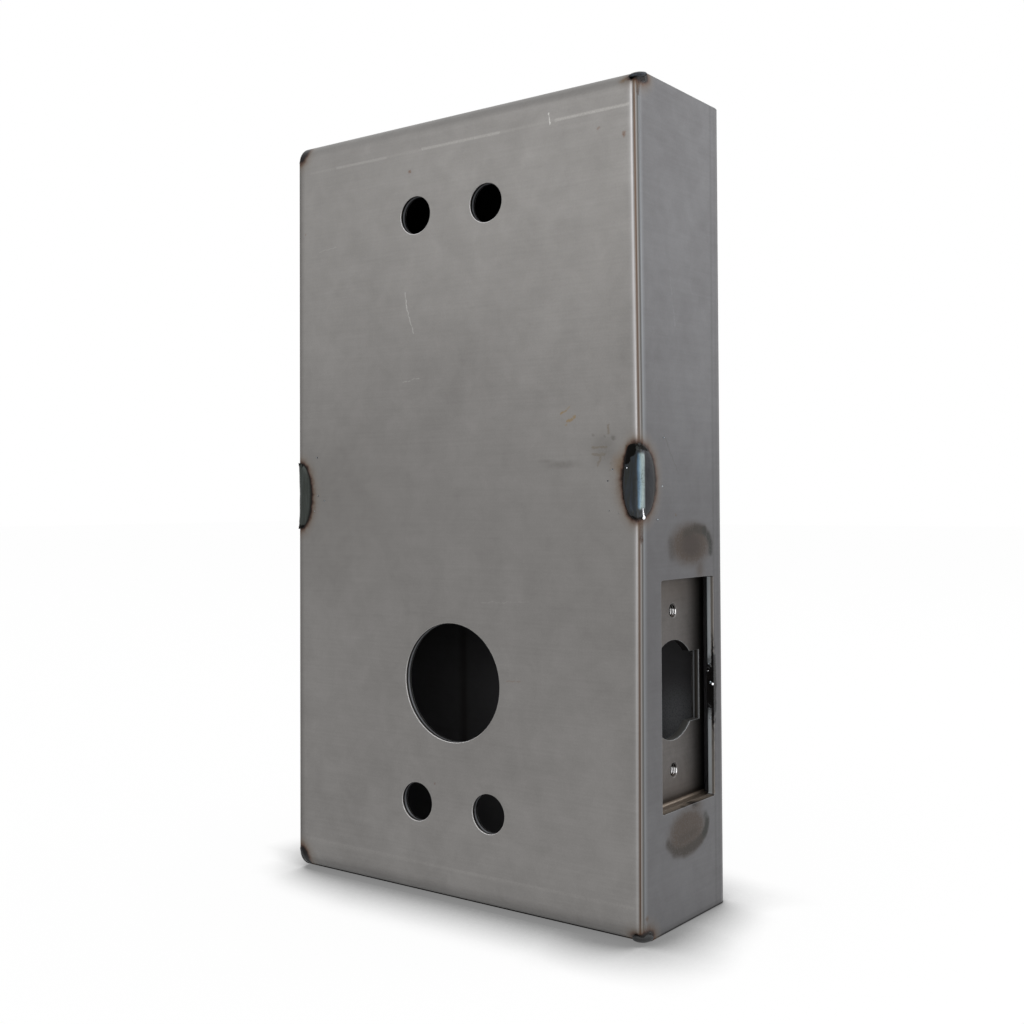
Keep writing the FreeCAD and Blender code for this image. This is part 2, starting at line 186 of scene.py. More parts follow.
def layBand(tree, colour, value, stops, mask=1.0):
    # colours that follow a value over what is below; stops: (value, sRGB hex, strength), where a stop
    # without its hex keeps the one before
    low, high = stops[0][0], stops[-1][0]
    band = addNode(tree, "ValToRGB", [where(tree, (value, low, high))])
    while len(band.color_ramp.elements) < len(stops):
        band.color_ramp.elements.new(0.5)
    for element, (place, *hexNow, strength) in zip(band.color_ramp.elements, stops):
        hexText = hexNow[0] if hexNow else hexText
        element.position = (place - low) / (high - low)
        element.color = (*fromHex(hexText)[:3], strength)
    return addNode(tree, "Mix", {0: where(tree, band.outputs["Alpha"], mask), 6: colour, 7: band},
                   data_type="RGBA").outputs[2]


def startMaterial(name):
    made = bpy.data.materials.new(name)
    tree = emptyTree(made)
    place = addNode(tree, "TexCoord").outputs["Object"]
    return made, tree, addNode(tree, "Mapping", {"Vector": place, "Scale": (1 / mm,) * 3})


def endMaterial(tree, colour, metallic, roughness, relief, shine=1.0):
    # relief holds the bump's inputs; shine takes the metal's and the oxide's reflection down together
    addNode(tree, "OutputMaterial", [addNode(tree, "BsdfPrincipled", {
        "Base Color": colour, "Metallic": where(tree, shine, metallic), "Roughness": roughness,
        "Specular IOR Level": where(tree, shine, 0.5), "Normal": addNode(tree, "Bump", relief)})])


# Threads in the bracket's two tapped holes, in millimetres
threadLook = {"radius": 2.08, "pitch": 0.79, "ridge": 0.20, "inset": 0.2, "spacing": 49.0}

# Where the tacks sit, in millimetres; the heat tint on the sheet and the beads themselves share this
tackLook = {
    "places": {  # side, height of the middle, half length, reach over the front, reach over the side
        "right": (1, 133.5, 11.0, 4.65, 10.8),
        "left": (-1, 130.0, 11.6, 6.3, 11.0),
    },
    "cornerRound": {"right": 3.9, "left": 1.9},
    "endRound": 1.3,
    "crown": 0.42,
    "meltLength": 18.0,
    "meltDepth": 3.4,
    "ripplePitch": 1.6,
    "rippleHeight": 0.004,
    "lumpHeight": 0.05,
    "sink": 0.22,  # how far the toe dips under the sheet
    "thickness": 0.9,
    "grid": (132, 84),  # steps along and across
    "ends": (2.8, 2.3, 0.48),  # how full the bead's outline is on the side, on the front, and at its ends
}

# Cold-rolled 12-gauge sheet as it left the mill: a dull satin grey with faint cloudy mottling and a
# fine grain, burnished where the rolls and dies rubbed it, blued and browned round the welds.
frontSheet = {
    "light": "#807e7c",
    "dark": "#72706e",
    "grainSize": 0.55,
    "mottleSize": 8.0,
    "cloudSize": 60.0,
    "roughness": 0.40,
    "metallic": 0.85,
    "bump": 0.20,
    "waver": 1.6,  # how unsteady the edges of marks and tints are, in millimetres
    "arris": 0.35,
    "worn": 0.50,
    "wornColour": "#b4b4b2",
    "paintedRimHighlight": "#e4e4e4",
}
# The side sheet is the same steel as the front, its greys darkened as painted shade
sideSheet = dict(frontSheet, light="#5e5e60", dark="#565557", roughness=0.42, worn=0.35,
                 wornColour="#9c9ea0")
del sideSheet["paintedRimHighlight"]
# The bracket is cut from hot-rolled strap: darker and browner, its edges bright from the punch
bracketStrap = dict(sideSheet, light="#605c5a", dark="#514e4c", grainSize=0.7, mottleSize=5.0, roughness=0.44,
                    bump=0.30, arris=0.4, worn=0.55, wornColour="#a9acad")

frontMarks = [  # kind of mark, colour, wavy or straight, marks
    (spotMark, "#55524e", True, [
        ((42.5, 138.8), (9.5, 3.0, 1.7), 0.9, 0.45),
        ((37.0, 139.8), (4.0, 3.0, 1.2), 0.9, 0.30),
        ((57.8, 142.8), (6.8, 3.0, 8.6), 1.0, 0.48),
        ((60.4, 146.2), (1.3, 2.0, 1.3), 0.9, 0.75),
        ((57.4, 147.0), (1.1, 2.0, 0.9), 0.9, 0.55),
        ((53.9, 147.4), (0.9, 2.0, 0.8), 0.9, 0.45),
        ((59.7, 139.0), (0.9, 2.0, 0.8), 0.9, 0.50),
        ((59.3, 136.9), (0.7, 2.0, 0.8), 0.9, 0.45),
        ((-52.0, 124.1), (16.0, 3.0, 1.4), 0.95, 0.20),
        ((-60.0, 118.0), (10.0, 3.0, 16.0), 1.0, 0.14),
        ((-48.0, 126.0), (42.0, 3.0, 48.0), 1.0, 0.20),
    ]),
    (strokeMark, "#a9a7a3", False, [  # light broken lines where the press brake's die edge rubbed
        ((41.0, 243.4), (66.3, 243.5), 0.12, 0.60, 0.42),
        ((-11.4, 243.5), (19.8, 243.4), 0.12, 0.60, 0.34),
        ((-49.5, 243.4), (-27.1, 243.3), 0.12, 0.60, 0.26),
        ((-62.0, 243.4), (40.0, 243.4), 0.10, 0.70, 0.10),
        ((-64.0, 10.6), (66.0, 10.6), 0.12, 0.80, 0.10),
    ]),
    (strokeMark, "#b4b3b0", True, [
        ((-18.9, 196.6), (-17.9, 191.0), 0.06, 0.30, 0.70),
        ((-17.9, 191.0), (-15.5, 183.4), 0.04, 0.30, 0.45),
        ((-19.9, 167.1), (-13.0, 168.4), 0.05, 0.25, 0.25),
        ((38.2, 245.8), (38.9, 242.3), 0.12, 0.25, 0.85),
        ((-58.0, 215.0), (-50.0, 216.2), 0.04, 0.25, 0.18),
        ((12.0, 96.0), (30.0, 97.0), 0.04, 0.25, 0.12),
    ]),
    (strokeMark, "#6f5440", True, [((21.9, 72.0), (26.8, 72.4), 0.05, 0.28, 0.40)]),
    (strokeMark, "#615545", True, [
        ((58.9, 150.1), (58.9, 147.8), 0.15, 0.50, 0.55),
        ((53.2, 143.5), (58.0, 143.6), 0.12, 0.45, 0.50),
        ((53.2, 141.6), (57.3, 141.7), 0.12, 0.45, 0.45),
        ((56.3, 141.1), (55.1, 138.2), 0.12, 0.45, 0.45),
    ]),
    (spotMark, "#6b5334", True, [
        ((62.2, 138.6), (3.6, 2.0, 4.6), 1.0, 0.50),
        ((64.2, 251.2), (2.4, 2.5, 1.4), 0.9, 1.0),
    ]),
    (strokeMark, "#7c6744", True, [
        ((42.3, 154.2), (44.1, 155.2), 0.12, 0.40, 0.80),
        ((44.1, 155.2), (45.4, 156.1), 0.06, 0.35, 0.45),
        ((44.8, 151.6), (46.1, 152.6), 0.15, 0.40, 0.80),
        ((46.7, 153.0), (47.3, 153.2), 0.20, 0.40, 0.75),
        ((44.0, 150.7), (44.3, 150.7), 0.15, 0.40, 0.45),
    ]),
    (strokeMark, "#3a2415", True, [
        ((68.2, -26.4, 121.5), (68.2, -26.2, 116.5), 0.5, 0.9, 0.85),
        ((68.2, -26.6, 250.5), (68.2, -26.4, 247.2), 0.5, 0.9, 0.95),
    ]),
    (spotMark, "#1d1512", True, [((65.8, 143.4), (1.7, 2.0, 1.3), 0.6, 0.9)]),  # scorched by the arc
    (spotMark, "#5f4230", True, [
        ((-16.6, 236.8), (1.1, 2.0, 0.6), 0.8, 0.75),
        ((64.8, 234.9), (0.8, 2.0, 1.5), 0.8, 0.70),
        ((56.0, 238.3), (0.8, 2.0, 0.6), 0.8, 0.45),
        ((-6.9, 36.8), (0.6, 2.0, 0.6), 0.8, 0.60),
        ((-64.6, 222.0), (0.5, 2.0, 0.7), 0.8, 0.35),
    ]),
]
sideMarks = [
    (strokeMark, "#454240", True, [
        ((-12.3, 147.8), (-8.6, 142.6), 0.08, 0.40, 0.45),
        ((-8.6, 142.6), (-3.7, 136.3), 0.08, 0.40, 0.45),
    ]),
    (spotMark, "#54402f", True, [
        ((-5.2, 123.5), (2.0, 0.6, 0.6), 0.8, 0.60),
        ((-24.2, 7.1), (3.0, 1.3, 1.2), 0.9, 1.0),
        ((-23.6, 250.6), (3.0, 1.9, 1.6), 0.9, 0.95),
    ]),
    (spotMark, "#9c9ea2", False, [((51.5, 26.0, 55.0), (11.0, 2.0, 18.0), 1.0, 0.85)]),  # painted light: a pale pool on the inside of the back
    (strokeMark, "#94969a", True, [((-8.0, 196.0), (-5.0, 181.0), 0.04, 0.25, 0.20)]),
    (spotMark, "#3f352d", True, [  # browned skin outside the bracket's two foot welds
        ((4.2, 114.5), (4.0, 17.4, 8.6), 0.60, 1.30),
        ((0.6, 27.2), (4.0, 14.8, 8.8), 0.50, 1.20),
        ((10.0, 106.8), (4.0, 4.6, 6.5), 1.0, 0.80),
        ((6.0, 34.0), (4.0, 7.5, 5.0), 1.0, 0.90),
    ]),
    (spotMark, "#332a25", False, [((4.6, 114.2), (4.0, 10.0, 5.8), 1.0, 2.1)]),
    (strokeMark, "#2b251f", False, [  # and the darker rim where the heat stopped
        ((0.5, 117.8), (7.0, 119.2), 0.2, 2.4, 1.0),
        ((7.0, 119.2), (13.0, 118.6), 0.3, 2.2, 1.5),
        ((-8.0, 111.4), (-8.6, 115.2), 0.1, 2.8, 0.50),
        ((13.4, 27.6), (12.2, 25.0), 0.3, 1.8, 1.5),
        ((12.2, 25.0), (9.4, 23.2), 0.3, 2.0, 1.6),
        ((9.4, 23.2), (4.6, 22.0), 0.4, 2.2, 1.5),
        ((4.6, 22.0), (-1.6, 21.6), 0.4, 2.4, 1.25),
        ((-1.6, 21.6), (-7.6, 22.6), 0.3, 2.4, 1.0),
        ((-7.6, 22.6), (-11.6, 25.8), 0.2, 2.2, 0.95),
        ((-4.0, 25.4), (6.0, 26.4), 0.1, 2.2, 0.45),
    ]),
    (strokeMark, "#1c1e1a", False, [
        ((13.0, 118.4), (15.6, 116.9), 0.4, 1.8, 0.80),
        ((15.6, 116.9), (17.2, 114.4), 0.5, 1.8, 1.0),
        ((17.2, 114.4), (17.2, 111.8), 0.4, 1.8, 0.95),
        ((12.4, 30.0), (13.6, 28.2), 0.3, 1.8, 0.70),
        ((13.6, 28.2), (13.2, 26.0), 0.4, 1.8, 0.95),
        ((13.2, 26.0), (11.6, 24.4), 0.4, 1.8, 0.95),
    ]),
    (strokeMark, "#3a2415", True, [
        ((68.2, -26.2, 121.5), (68.2, -26.0, 116.5), 0.4, 0.8, 0.85),
        ((68.2, -26.4, 250.5), (68.2, -26.2, 247.6), 0.4, 0.8, 0.95),
    ]),
    (spotMark, "#161413", True, [  # smoke on the cutout's rear edge
        ((66.8, 18.9, 69.0), (4.0, 2.5, 11.5), 0.8, 2.2),
        ((67.85, 18.9, 69.5), (0.9, 2.5, 20.0), 0.7, 2.0),
        ((67.85, 18.9, 58.0), (0.7, 2.5, 22.0), 0.9, 0.50),
        ((67.4, 5.6, 34.9), (3.0, 3.6, 1.5), 0.8, 0.95),
        ((67.4, -0.6, 34.9), (1.2, 2.0, 1.5), 0.8, 0.65),
    ]),
]
strapMarks = [
    (spotMark, "#4a3f37", True, [
        ((62.9, 2.1, 101.5), (4.0, 26.0, 9.0), 1.0, 0.45),
        ((62.9, 2.1, 38.0), (4.0, 26.0, 12.0), 1.0, 0.45),
    ]),
]
# Heat colours outwards from a bead: black scale, brown, straw, then bare steel
heatColours = [(-0.3, "#141110", 1.0), (0.15, "#1a1310", 1.0), (0.6, "#38241a", 0.92),
               (1.1, "#4f3a2b", 0.72), (1.8, "#5c4c3c", 0.46), (2.8, "#6a6056", 0.28),
               (5.4, "#74706c", 0.0)]
cornerReach = {  # middle and reach of the corner tacks' fused area
    "top_right": ((67.4, -25.0, 252.5), (1.9, 4.2, 1.7)),
    "bottom_right": ((67.1, -24.9, 1.4), (2.1, 4.4, 1.8)),
    "top_left": ((-67.1, -26.8, 251.3), (2.5, 3.0, 3.4)),
    "bottom_left": ((-66.9, -27.3, 3.6), (2.6, 3.0, 3.6)),
}


def steelMaterial(name, look, marks, dressEdges, onSheet=None, tinted=True):
    made, tree, point = startMaterial(name)
    grain = addNode(tree, "TexNoise", {
        "Vector": point, "Scale": 1 / look["grainSize"], "Detail": 3.0, "Roughness": 0.65})
    mottle = addNode(tree, "TexNoise", {"Vector": point, "Scale": 1 / look["mottleSize"], "Detail": 5.0,
                                        "Roughness": 0.62, "Distortion": 0.4})
    cloud = addNode(tree, "TexNoise", {
        "Vector": point, "Scale": 1 / look["cloudSize"], "Detail": 3.0, "Roughness": 0.5})
    rolled = addNode(tree, "Mapping", {"Vector": point, "Scale": (0.035, 0.035, 1.2)})
    streak = addNode(tree, "TexNoise", {"Vector": rolled, "Scale": 1.0, "Detail": 3.0})
    warp = addNode(tree, "TexNoise", {"Vector": point, "Scale": 0.55, "Detail": 3.0}).outputs["Color"]
    warp = addNode(tree, "VectorMath", [warp, (0.5, 0.5, 0.5)], operation="SUBTRACT")
    warp = addNode(tree, "VectorMath", {0: warp, "Scale": look["waver"]}, operation="SCALE")
    wavy = addNode(tree, "VectorMath", [point, warp])

    tone = None
    for socket, weight in ((mottle, 0.34), (cloud, 0.30), (grain, 0.22), (streak, 0.14)):
        level = where(tree, socket.outputs["Fac"], weight)
        tone = level if tone is None else addNode(tree, "Math", [tone, level])
    colour = layColour(tree, fromHex(look["dark"]), where(tree, (tone, 0.38, 0.62)), look["light"])

    patchy = addNode(tree, "MapRange", {
        "Value": grain.outputs["Fac"], "From Min": 0.32, "From Max": 0.58, "To Min": 0.45, "To Max": 1.0})
    colour, cut, paintedShade, kept = dressEdges(tree, point, colour)
    for kind, hexText, isWavy, group in marks:
        placed = [[onSheet(*value) if isinstance(value, tuple) and len(value) == 2 else value
                   for value in mark] for mark in group]
        mask = addMarks(tree, wavy if isWavy else point, kind, placed)
        colour = layColour(tree, colour, where(tree, mask, patchy), hexText)

    if tinted:
        tint = None
        for centre, radii in tintSources:
            mark = addNode(tree, "Group", [wavy, centre, radii], node_tree=beadMark)
            tint = mark if tint is None else addNode(tree, "Math", [tint, mark], operation="MINIMUM")
        colour = layBand(tree, colour, tint, heatColours)

    # Arrises: rounded a little in the shading, and rubbed bright
    rounded = addNode(tree, "Bevel", {"Radius": look["arris"] * mm}, samples=6)
    flat = addNode(tree, "NewGeometry")
    turn = addNode(tree, "VectorMath", [rounded, flat.outputs["Normal"]], operation="DOT_PRODUCT")
    worn = addNode(tree, "MapRange", {
        "Value": turn.outputs["Value"], "From Min": 0.995, "From Max": 0.85, "To Max": look["worn"]})
    rubbed = where(tree, worn, patchy, (kept, 1.0, 0.0))
    colour = layColour(tree, colour, rubbed, look["wornColour"])
    if "paintedRimHighlight" in look:  # painted highlight on the punched rims turned up and to the right
        facing = addNode(tree, "VectorMath", [rounded, (0.6, 0.0, 0.8)], operation="DOT_PRODUCT")
        ahead = addNode(tree, "SeparateXYZ", [flat.outputs["Normal"]])
        level = addNode(tree, "SeparateXYZ", [point])
        rim = where(tree, (facing.outputs["Value"], 0.08, 0.32), (ahead.outputs["Y"], -0.8, -0.9),
                    (level.outputs["Z"], 246.0, 244.0), (kept, 1.0, 0.0))
        colour = layColour(tree, colour, rim, look["paintedRimHighlight"])

    rough = addNode(tree, "MapRange", {
        "Value": tone, "From Min": 0.35, "From Max": 0.65, "To Min": look["roughness"] + 0.05,
        "To Max": look["roughness"] - 0.05})
    rough = addNode(tree, "Mix", {0: cut, 2: rough, 3: 0.58}, data_type="FLOAT")
    height = addNode(tree, "Math", [grain.outputs["Fac"], mottle.outputs["Fac"]])
    relief = {"Strength": look["bump"], "Distance": 0.05 * mm, "Height": height, "Normal": rounded}
    endMaterial(tree, colour, look["metallic"], rough, relief, where(tree, (paintedShade, 1.0, 0.0)))
    return made


tintSources = []  # middle and reach of each tack's fused area, in millimetres
for tackSide, tackHeight, halfLength, across, along in tackLook["places"].values():
    corner = (tackSide * sidePlane / mm, frontPlane / mm, tackHeight)
    tintSources.append((corner, (across, along, halfLength)))
tintSources += cornerReach.values()


def readPlace(tree, point):
    # how a point faces and where it is, with left and right alike
    normal = addNode(tree, "NewGeometry").outputs["Normal"]
    facing = addNode(tree, "VectorMath", [normal], operation="ABSOLUTE")
    spot = addNode(tree, "SeparateXYZ", [point]).outputs
    away = addNode(tree, "Math", [spot["X"]], operation="ABSOLUTE")
    return addNode(tree, "SeparateXYZ", [facing]).outputs, spot, away


def layArris(tree, colour, spot, away, flange=0.0):
    # The lines round the box's upright arrises, by how far round the arris a point lies, in millimetres of
    # the side: painted highlight and shade, the cut faces and the seam; the front's share is stretched, since
    # the lines spread there, and the lines wander forward towards both ends.
    stretch, offArris = 1.73, -40.0
    onFace = addNode(tree, "Math", [away, sidePlane / mm], operation="SUBTRACT")
    onFace = addNode(tree, "Math", [onFace, 0.0], operation="MINIMUM")
    behind = addNode(tree, "Math", [spot["Y"], frontPlane / mm], operation="SUBTRACT")
    behind = addNode(tree, "Math", [behind, 0.0], operation="MAXIMUM")
    reach = addNode(tree, "Math", [onFace, stretch, behind], operation="MULTIPLY_ADD")
    low = addNode(tree, "MapRange", {
        "Value": spot["Z"], "From Min": 125.0, "From Max": 0.0, "To Min": 0.28, "To Max": 1.4})
    low = where(tree, low, (spot["Z"], 140.0, 128.0))
    high = addNode(tree, "MapRange", {
        "Value": spot["Z"], "From Min": 133.0, "From Max": 254.0, "To Max": 1.85})
    reach = addNode(tree, "Math", [addNode(tree, "Math", [reach, low]), high])
    reach = addNode(tree, "Math", [flange, offArris, reach], operation="MULTIPLY_ADD")
    # painted highlight along the near arris, stronger towards the top
    bright = addNode(tree, "MapRange", {
        "Value": spot["Z"], "From Min": 10.0, "From Max": 195.0, "To Min": 0.12, "To Max": 0.54})
    rightSide = where(tree, (spot["X"], -10.0, 10.0))
    colour = layBand(tree, colour, reach, [
        (-2.9, "#d4d2d4", 0.0), (-1.7, 0.08), (-1.15, 0.2), (-0.57, 0.6), (-0.15, "#dad8da", 1.0),
        (0.2, 0.95), (0.6, "#c8c4c4", 0.4), (1.0, "#a09a98", 0.0)], where(tree, bright, rightSide))
    # the cut face's torn and burnished zones, the dark seam, and a light line on the side's arris, partly
    # burnished and partly painted highlight
    colour = layBand(tree, colour, reach, [
        (0.7, "#5f5046", 0.0), (1.25, 0.85), (1.6, "#55453a", 1.0), (1.95, "#5c4d43", 1.0),
        (2.3, "#7c7672", 1.0), (2.6, "#868482", 1.0), (2.95, "#73716f", 1.0), (3.25, "#555351", 1.0),
        (3.6, 1.0), (4.0, "#686a6c", 1.0), (4.5, "#787b7e", 0.9), (5.2, "#747679", 0.45),
        (6.4, "#707274", 0.0)], rightSide)
    colour = layBand(tree, colour, reach, [  # the seam is dirtier towards the foot
        (1.0, "#2e221b", 0.0), (1.45, 0.36), (2.0, 0.36), (2.35, 0.0)],
        where(tree, rightSide, (spot["Z"], 95.0, 55.0)))
    return layBand(tree, colour, reach, [  # painted shade on the far arris
        (-4.4, "#4e4b49", 0.0), (-2.2, 0.3), (0.0, "#3c3a38", 0.65), (2.0, 0.65), (6.4, 0.0)],
        where(tree, (rightSide, 1.0, 0.0))), reach


def frontEdges(tree, point, colour):
    facing, spot, away = readPlace(tree, point)
    outer = where(tree, (away, 60.0, 61.0))
    end = where(tree, (facing["X"], 0.8, 0.95), outer)
    middle = addNode(tree, "Math", [spot["Z"], topPlane / mm / 2], operation="SUBTRACT")
    clear = addNode(tree, "Math", [middle], operation="ABSOLUTE")
    wall = where(tree, (facing["Y"], 0.25, 0.1), (clear, 116.5, 115.5), (outer, 1.0, 0.0))
    colour = layBand(tree, colour, spot["Z"], [  # painted light, paler towards the top, and painted shade about the middle
        (20.0, "#7a7674", 0.0), (85.0, "#6a6866", 0.1), (125.0, 0.26), (165.0, 0.05),
        (185.0, "#8c8a87", 0.1), (230.0, "#8f8d8a", 0.22), (254.0, "#8c8a87", 0.2)])
    colour, _ = layArris(tree, colour, spot, away, where(tree, (facing["Z"], 0.93, 0.99)))
    front = frontPlane / mm
    colour = layBand(tree, colour, spot["Y"], [  # punched walls: bright at the rim, torn within, and painted near-black as shade
        (front, "#d0d0d0", 1.0), (front + 0.25, "#8f8b86", 1.0), (front + 0.5, "#1c1918", 1.0),
        (front + 0.95, 1.0), (front + 1.35, "#a2a4a8", 1.0), (front + 1.75, "#8a8c90", 1.0),
        (front + 2.1, "#1c1a19", 1.0), (front + 2.66, "#141312", 1.0)], wall)
    colour = layBand(tree, colour, spot["Z"], [  # painted shade where the bottom fold turns under
        (0.0, "#171615", 1.0), (1.0, "#1a1918", 1.0), (1.4, "#242221", 0.75), (2.0, "#2a2827", 0.46),
        (3.0, "#302e2d", 0.27), (4.2, 0.09), (5.5, 0.0)])
    cut = addNode(tree, "Math", [end, wall], operation="MAXIMUM")
    kept = where(tree, (away, 64.5, 66.0))
    # the third value is the painted shade at the foot, which takes the shine off
    return colour, cut, where(tree, (spot["Z"], 3.2, 1.4)), kept


def rearEdges(tree, point, colour):
    facing, spot, away = readPlace(tree, point)
    seam = seamPlane / mm
    inner, outer = (sidePlane - sheet) / mm, sidePlane / mm
    upright = where(tree, (facing["Z"], 0.7, 0.9))
    inPanel = where(tree, (away, inner - 0.06, inner - 0.01))
    forward = where(tree, (facing["Y"], 0.75, 0.9), inPanel, (spot["Y"], 19.8, 19.5))
    wall = where(tree, (facing["Y"], 0.25, 0.1), (away, 30.0, 29.0))
    colour, reach = layArris(tree, colour, spot, away)
    # painted shade along the foot of the side
    colour = layBand(tree, colour, spot["Z"], [
        (0.0, "#1a1919", 0.95), (0.4, "#1e1d1d", 0.75), (1.0, "#2a2929", 0.3), (2.0, 0.0)])
    bend = backPlane / mm - 9.3
    colour = layBand(tree, colour, spot["Y"], [  # painted shade along the rear bend
        (bend - 1.1, "#2b2a2a", 0.0), (bend, 0.24), (bend + 1.1, "#373636", 0.04),
        (backPlane / mm - 6.0, 0.18), (backPlane / mm - 0.5, 0.5)], where(tree, (facing["X"], 0.05, 0.3)))
    behindSeam = where(tree, (spot["Y"], seam + 0.5, seam + 0.8))
    cut = addNode(tree, "Math", [upright, forward], operation="MAXIMUM")
    cut = addNode(tree, "Math", [cut, wall], operation="MAXIMUM")
    colour = layBand(tree, colour, away, [  # the cutout's rear edge: painted shade at its inner corner, then light burnished bands
        (inner, "#0f0e0e", 1.0), (inner + 0.3, 1.0), (inner + 0.6, "#c6cdd1", 1.0),
        (inner + 1.55, "#ccd0d2", 1.0), (inner + 1.8, "#8e8984", 1.0), (inner + 2.1, "#8c8680", 1.0),
        (outer, "#a8a29c", 1.0)], where(tree, cut, behindSeam))
    colour = layBand(tree, colour, away, [  # its lower edge, scorched tan
        (inner, "#94897c", 1.0), (inner + 0.5, "#8f8478", 1.0), (inner + 1.3, "#867b6f", 1.0),
        (inner + 1.9, "#776d63", 1.0), (inner + 2.3, "#6a635c", 1.0), (outer, "#54504d", 1.0)],
        where(tree, upright, (spot["Z"], latchAxisZ / mm, latchAxisZ / mm - 20.0)))
    # painted shade inside the box: the far side's inner wall near-black and dull
    within = where(tree, (away, inner + 0.05, inner - 0.05),
                   (spot["Y"], backPlane / mm - 2.0, backPlane / mm - 2.4))
    farWall = where(tree, within, (facing["X"], 0.5, 0.8))
    colour = layColour(tree, colour, where(tree, farWall, (spot["X"], 0.0, -20.0)), "#151514")
    backSheet = where(tree, within, (facing["Y"], 0.5, 0.8))
    colour = layBand(tree, colour, spot["Z"], [  # painted shade on the back's inside, deepening upwards behind the big hole
        (62.0, "#151514", 0.0), (82.0, 0.45), (105.0, 0.9)],
        where(tree, backSheet, (spot["X"], 40.0, 20.0)))
    paintedShade = addNode(tree, "Math", [within, where(tree, (spot["Z"], 1.2, 0.3))], operation="MAXIMUM")
    return colour, cut, paintedShade, where(tree, (reach, 7.5, 6.5))


def layGlint(tree, colour, point, mask=1.0):
    # tapped hole: a painted highlight on its lower wall, painted shade on the upper
    spot = addNode(tree, "SeparateXYZ", [point])
    half = threadLook["spacing"] / 2
    shifted = addNode(tree, "Math", [
        spot.outputs["Z"], latchAxisZ / mm - half - 10.0], operation="SUBTRACT")
    wrapped = addNode(tree, "Math", [shifted, threadLook["spacing"], 0.0], operation="WRAP")
    rise = addNode(tree, "Math", [wrapped, 10.0], operation="SUBTRACT")
    return layBand(tree, colour, rise, [
        (-2.2, "#4b3f37", 1.0), (-1.6, "#6a5f58", 1.0), (-1.2, "#f4f3f5", 1.0), (0.05, "#ffffff", 1.0),
        (0.4, "#4a4644", 1.0), (1.0, "#1d1b1a", 1.0), (2.2, "#2a2624", 1.0)], mask)


def strapEdges(tree, point, colour):
    facing, spot, away = readPlace(tree, point)
    up = addNode(tree, "Math", [spot["Z"], latchAxisZ / mm], operation="SUBTRACT")
    clear = addNode(tree, "Math", [up], operation="ABSOLUTE")
    cut = where(tree, (facing["X"], 0.3, 0.12), (clear, 31.0, 30.0))
    colour = layBand(tree, colour, spot["Y"], [  # painted shade, deepening behind the cutout's rear edge
        (11.0, "#141313", 0.0), (14.0, "#1a1a1b", 0.1), (17.0, "#141313", 0.32), (20.0, "#0f0e0e", 0.55),
        (22.3, 0.9)])
    shelf = latchAxisZ / mm - 34.65
    colour = layBand(tree, colour, spot["Z"], [  # a tan shelf, then painted shade behind the cutout's lower edge
        (shelf, "#84796e", 1.0), (shelf + 0.4, "#91867a", 1.0), (shelf + 0.75, "#857a6e", 1.0),
        (shelf + 1.0, "#2e2722", 1.0), (shelf + 1.25, "#171411", 1.0), (shelf + 1.8, 0.95),
        (shelf + 2.5, "#1e1b19", 0.45), (shelf + 4.0, 0.2), (shelf + 8.0, 0.0)])
    inner, outer = strapLow.x / mm, strapLow.x / mm + sheet / mm
    rearWall = where(tree, cut, (facing["Y"], 0.7, 0.9))
    # painted shade in the walls of its openings, lighter at their outer arris
    colour = layBand(tree, colour, away, [
        (inner, "#211f1e", 1.0), (outer - 0.35, "#262322", 1.0), (outer, "#7d8082", 1.0)], cut)
    colour = layBand(tree, colour, away, [  # painted light on the lower half of those walls
        (inner, "#686765", 1.0), (outer - 0.6, "#767573", 1.0), (outer - 0.15, "#a4a8aa", 1.0),
        (outer, "#c2c6c8", 1.0)], where(tree, cut, (up, -2.0, -10.0)))
    # the notch's rear wall: painted highlights along both arrises, darker between
    colour = layBand(tree, colour, away, [
        (inner, "#2b2826", 1.0), (inner + 0.4, "#35322f", 1.0), (inner + 0.62, "#8a8c8e", 1.0),
        (inner + 0.95, "#7c7e80", 1.0), (inner + 1.2, "#37332f", 1.0), (outer - 0.75, "#4a4641", 1.0),
        (outer - 0.3, "#77797b", 1.0), (outer, "#8a8c8e", 1.0)], rearWall)
    colour = layGlint(tree, colour, point, where(tree, cut, (clear, 20.5, 21.0)))
    return colour, cut, 0.0, 0.0


def paint(obj, material):
    obj.data.materials.clear()
    obj.data.materials.append(material)


strapSteel = steelMaterial("hotRolledStrap", bracketStrap, strapMarks, strapEdges, tinted=False)
frontSteel = steelMaterial("coldRolledFrontSheet", frontSheet, frontMarks, frontEdges, onFront)
sideSteel = steelMaterial("coldRolledSideSheet", sideSheet, sideMarks, rearEdges, onSide)
steels = {"front_channel": frontSteel, "rear_channel": sideSteel, "latch_bracket": strapSteel}
for node, steel in steels.items():
    paint(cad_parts[node], steel)
print("sheet finish done")


def finishMesh(name, mesh, material, replaced=()):
    for face in mesh.polygons:
        face.use_smooth = True
    made = addObject(name, mesh)
    paint(made, material)
    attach(made, "root")
    if replaced:
        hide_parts(*replaced)
    return made


def toMesh(name, build):
    mesh = bpy.data.meshes.new(name)
    build.to_mesh(mesh)
    build.free()
    return mesh


# Fused weld metal: smooth glassy blue-black oxide over steel, sooty and rough where the arc started
weldLook = {
    "skin": "#272726",
    "blue": "#2e343c",
    "crust": "#141312",
    "brown": "#3a2a20",
    "bright": "#b5c0c8",
    "roughness": 0.24,
    "crustRoughness": 0.75,
    "metallic": 0.95,
}
# Painted highlight along a bead's crest: steel blue, then bright; by how far it faces sideways
crestHighlightColours = [(0.54, "#3c5060", 0.0), (0.59, "#3e5264", 0.8), (0.66, "#566874", 1.0),
                (0.72, "#6e7f86", 1.0), (0.8, "#859393", 1.0), (0.89, "#8e9b9a", 1.0), (0.95, 1.0),
                (1.0, "#7c8a8c", 1.0)]


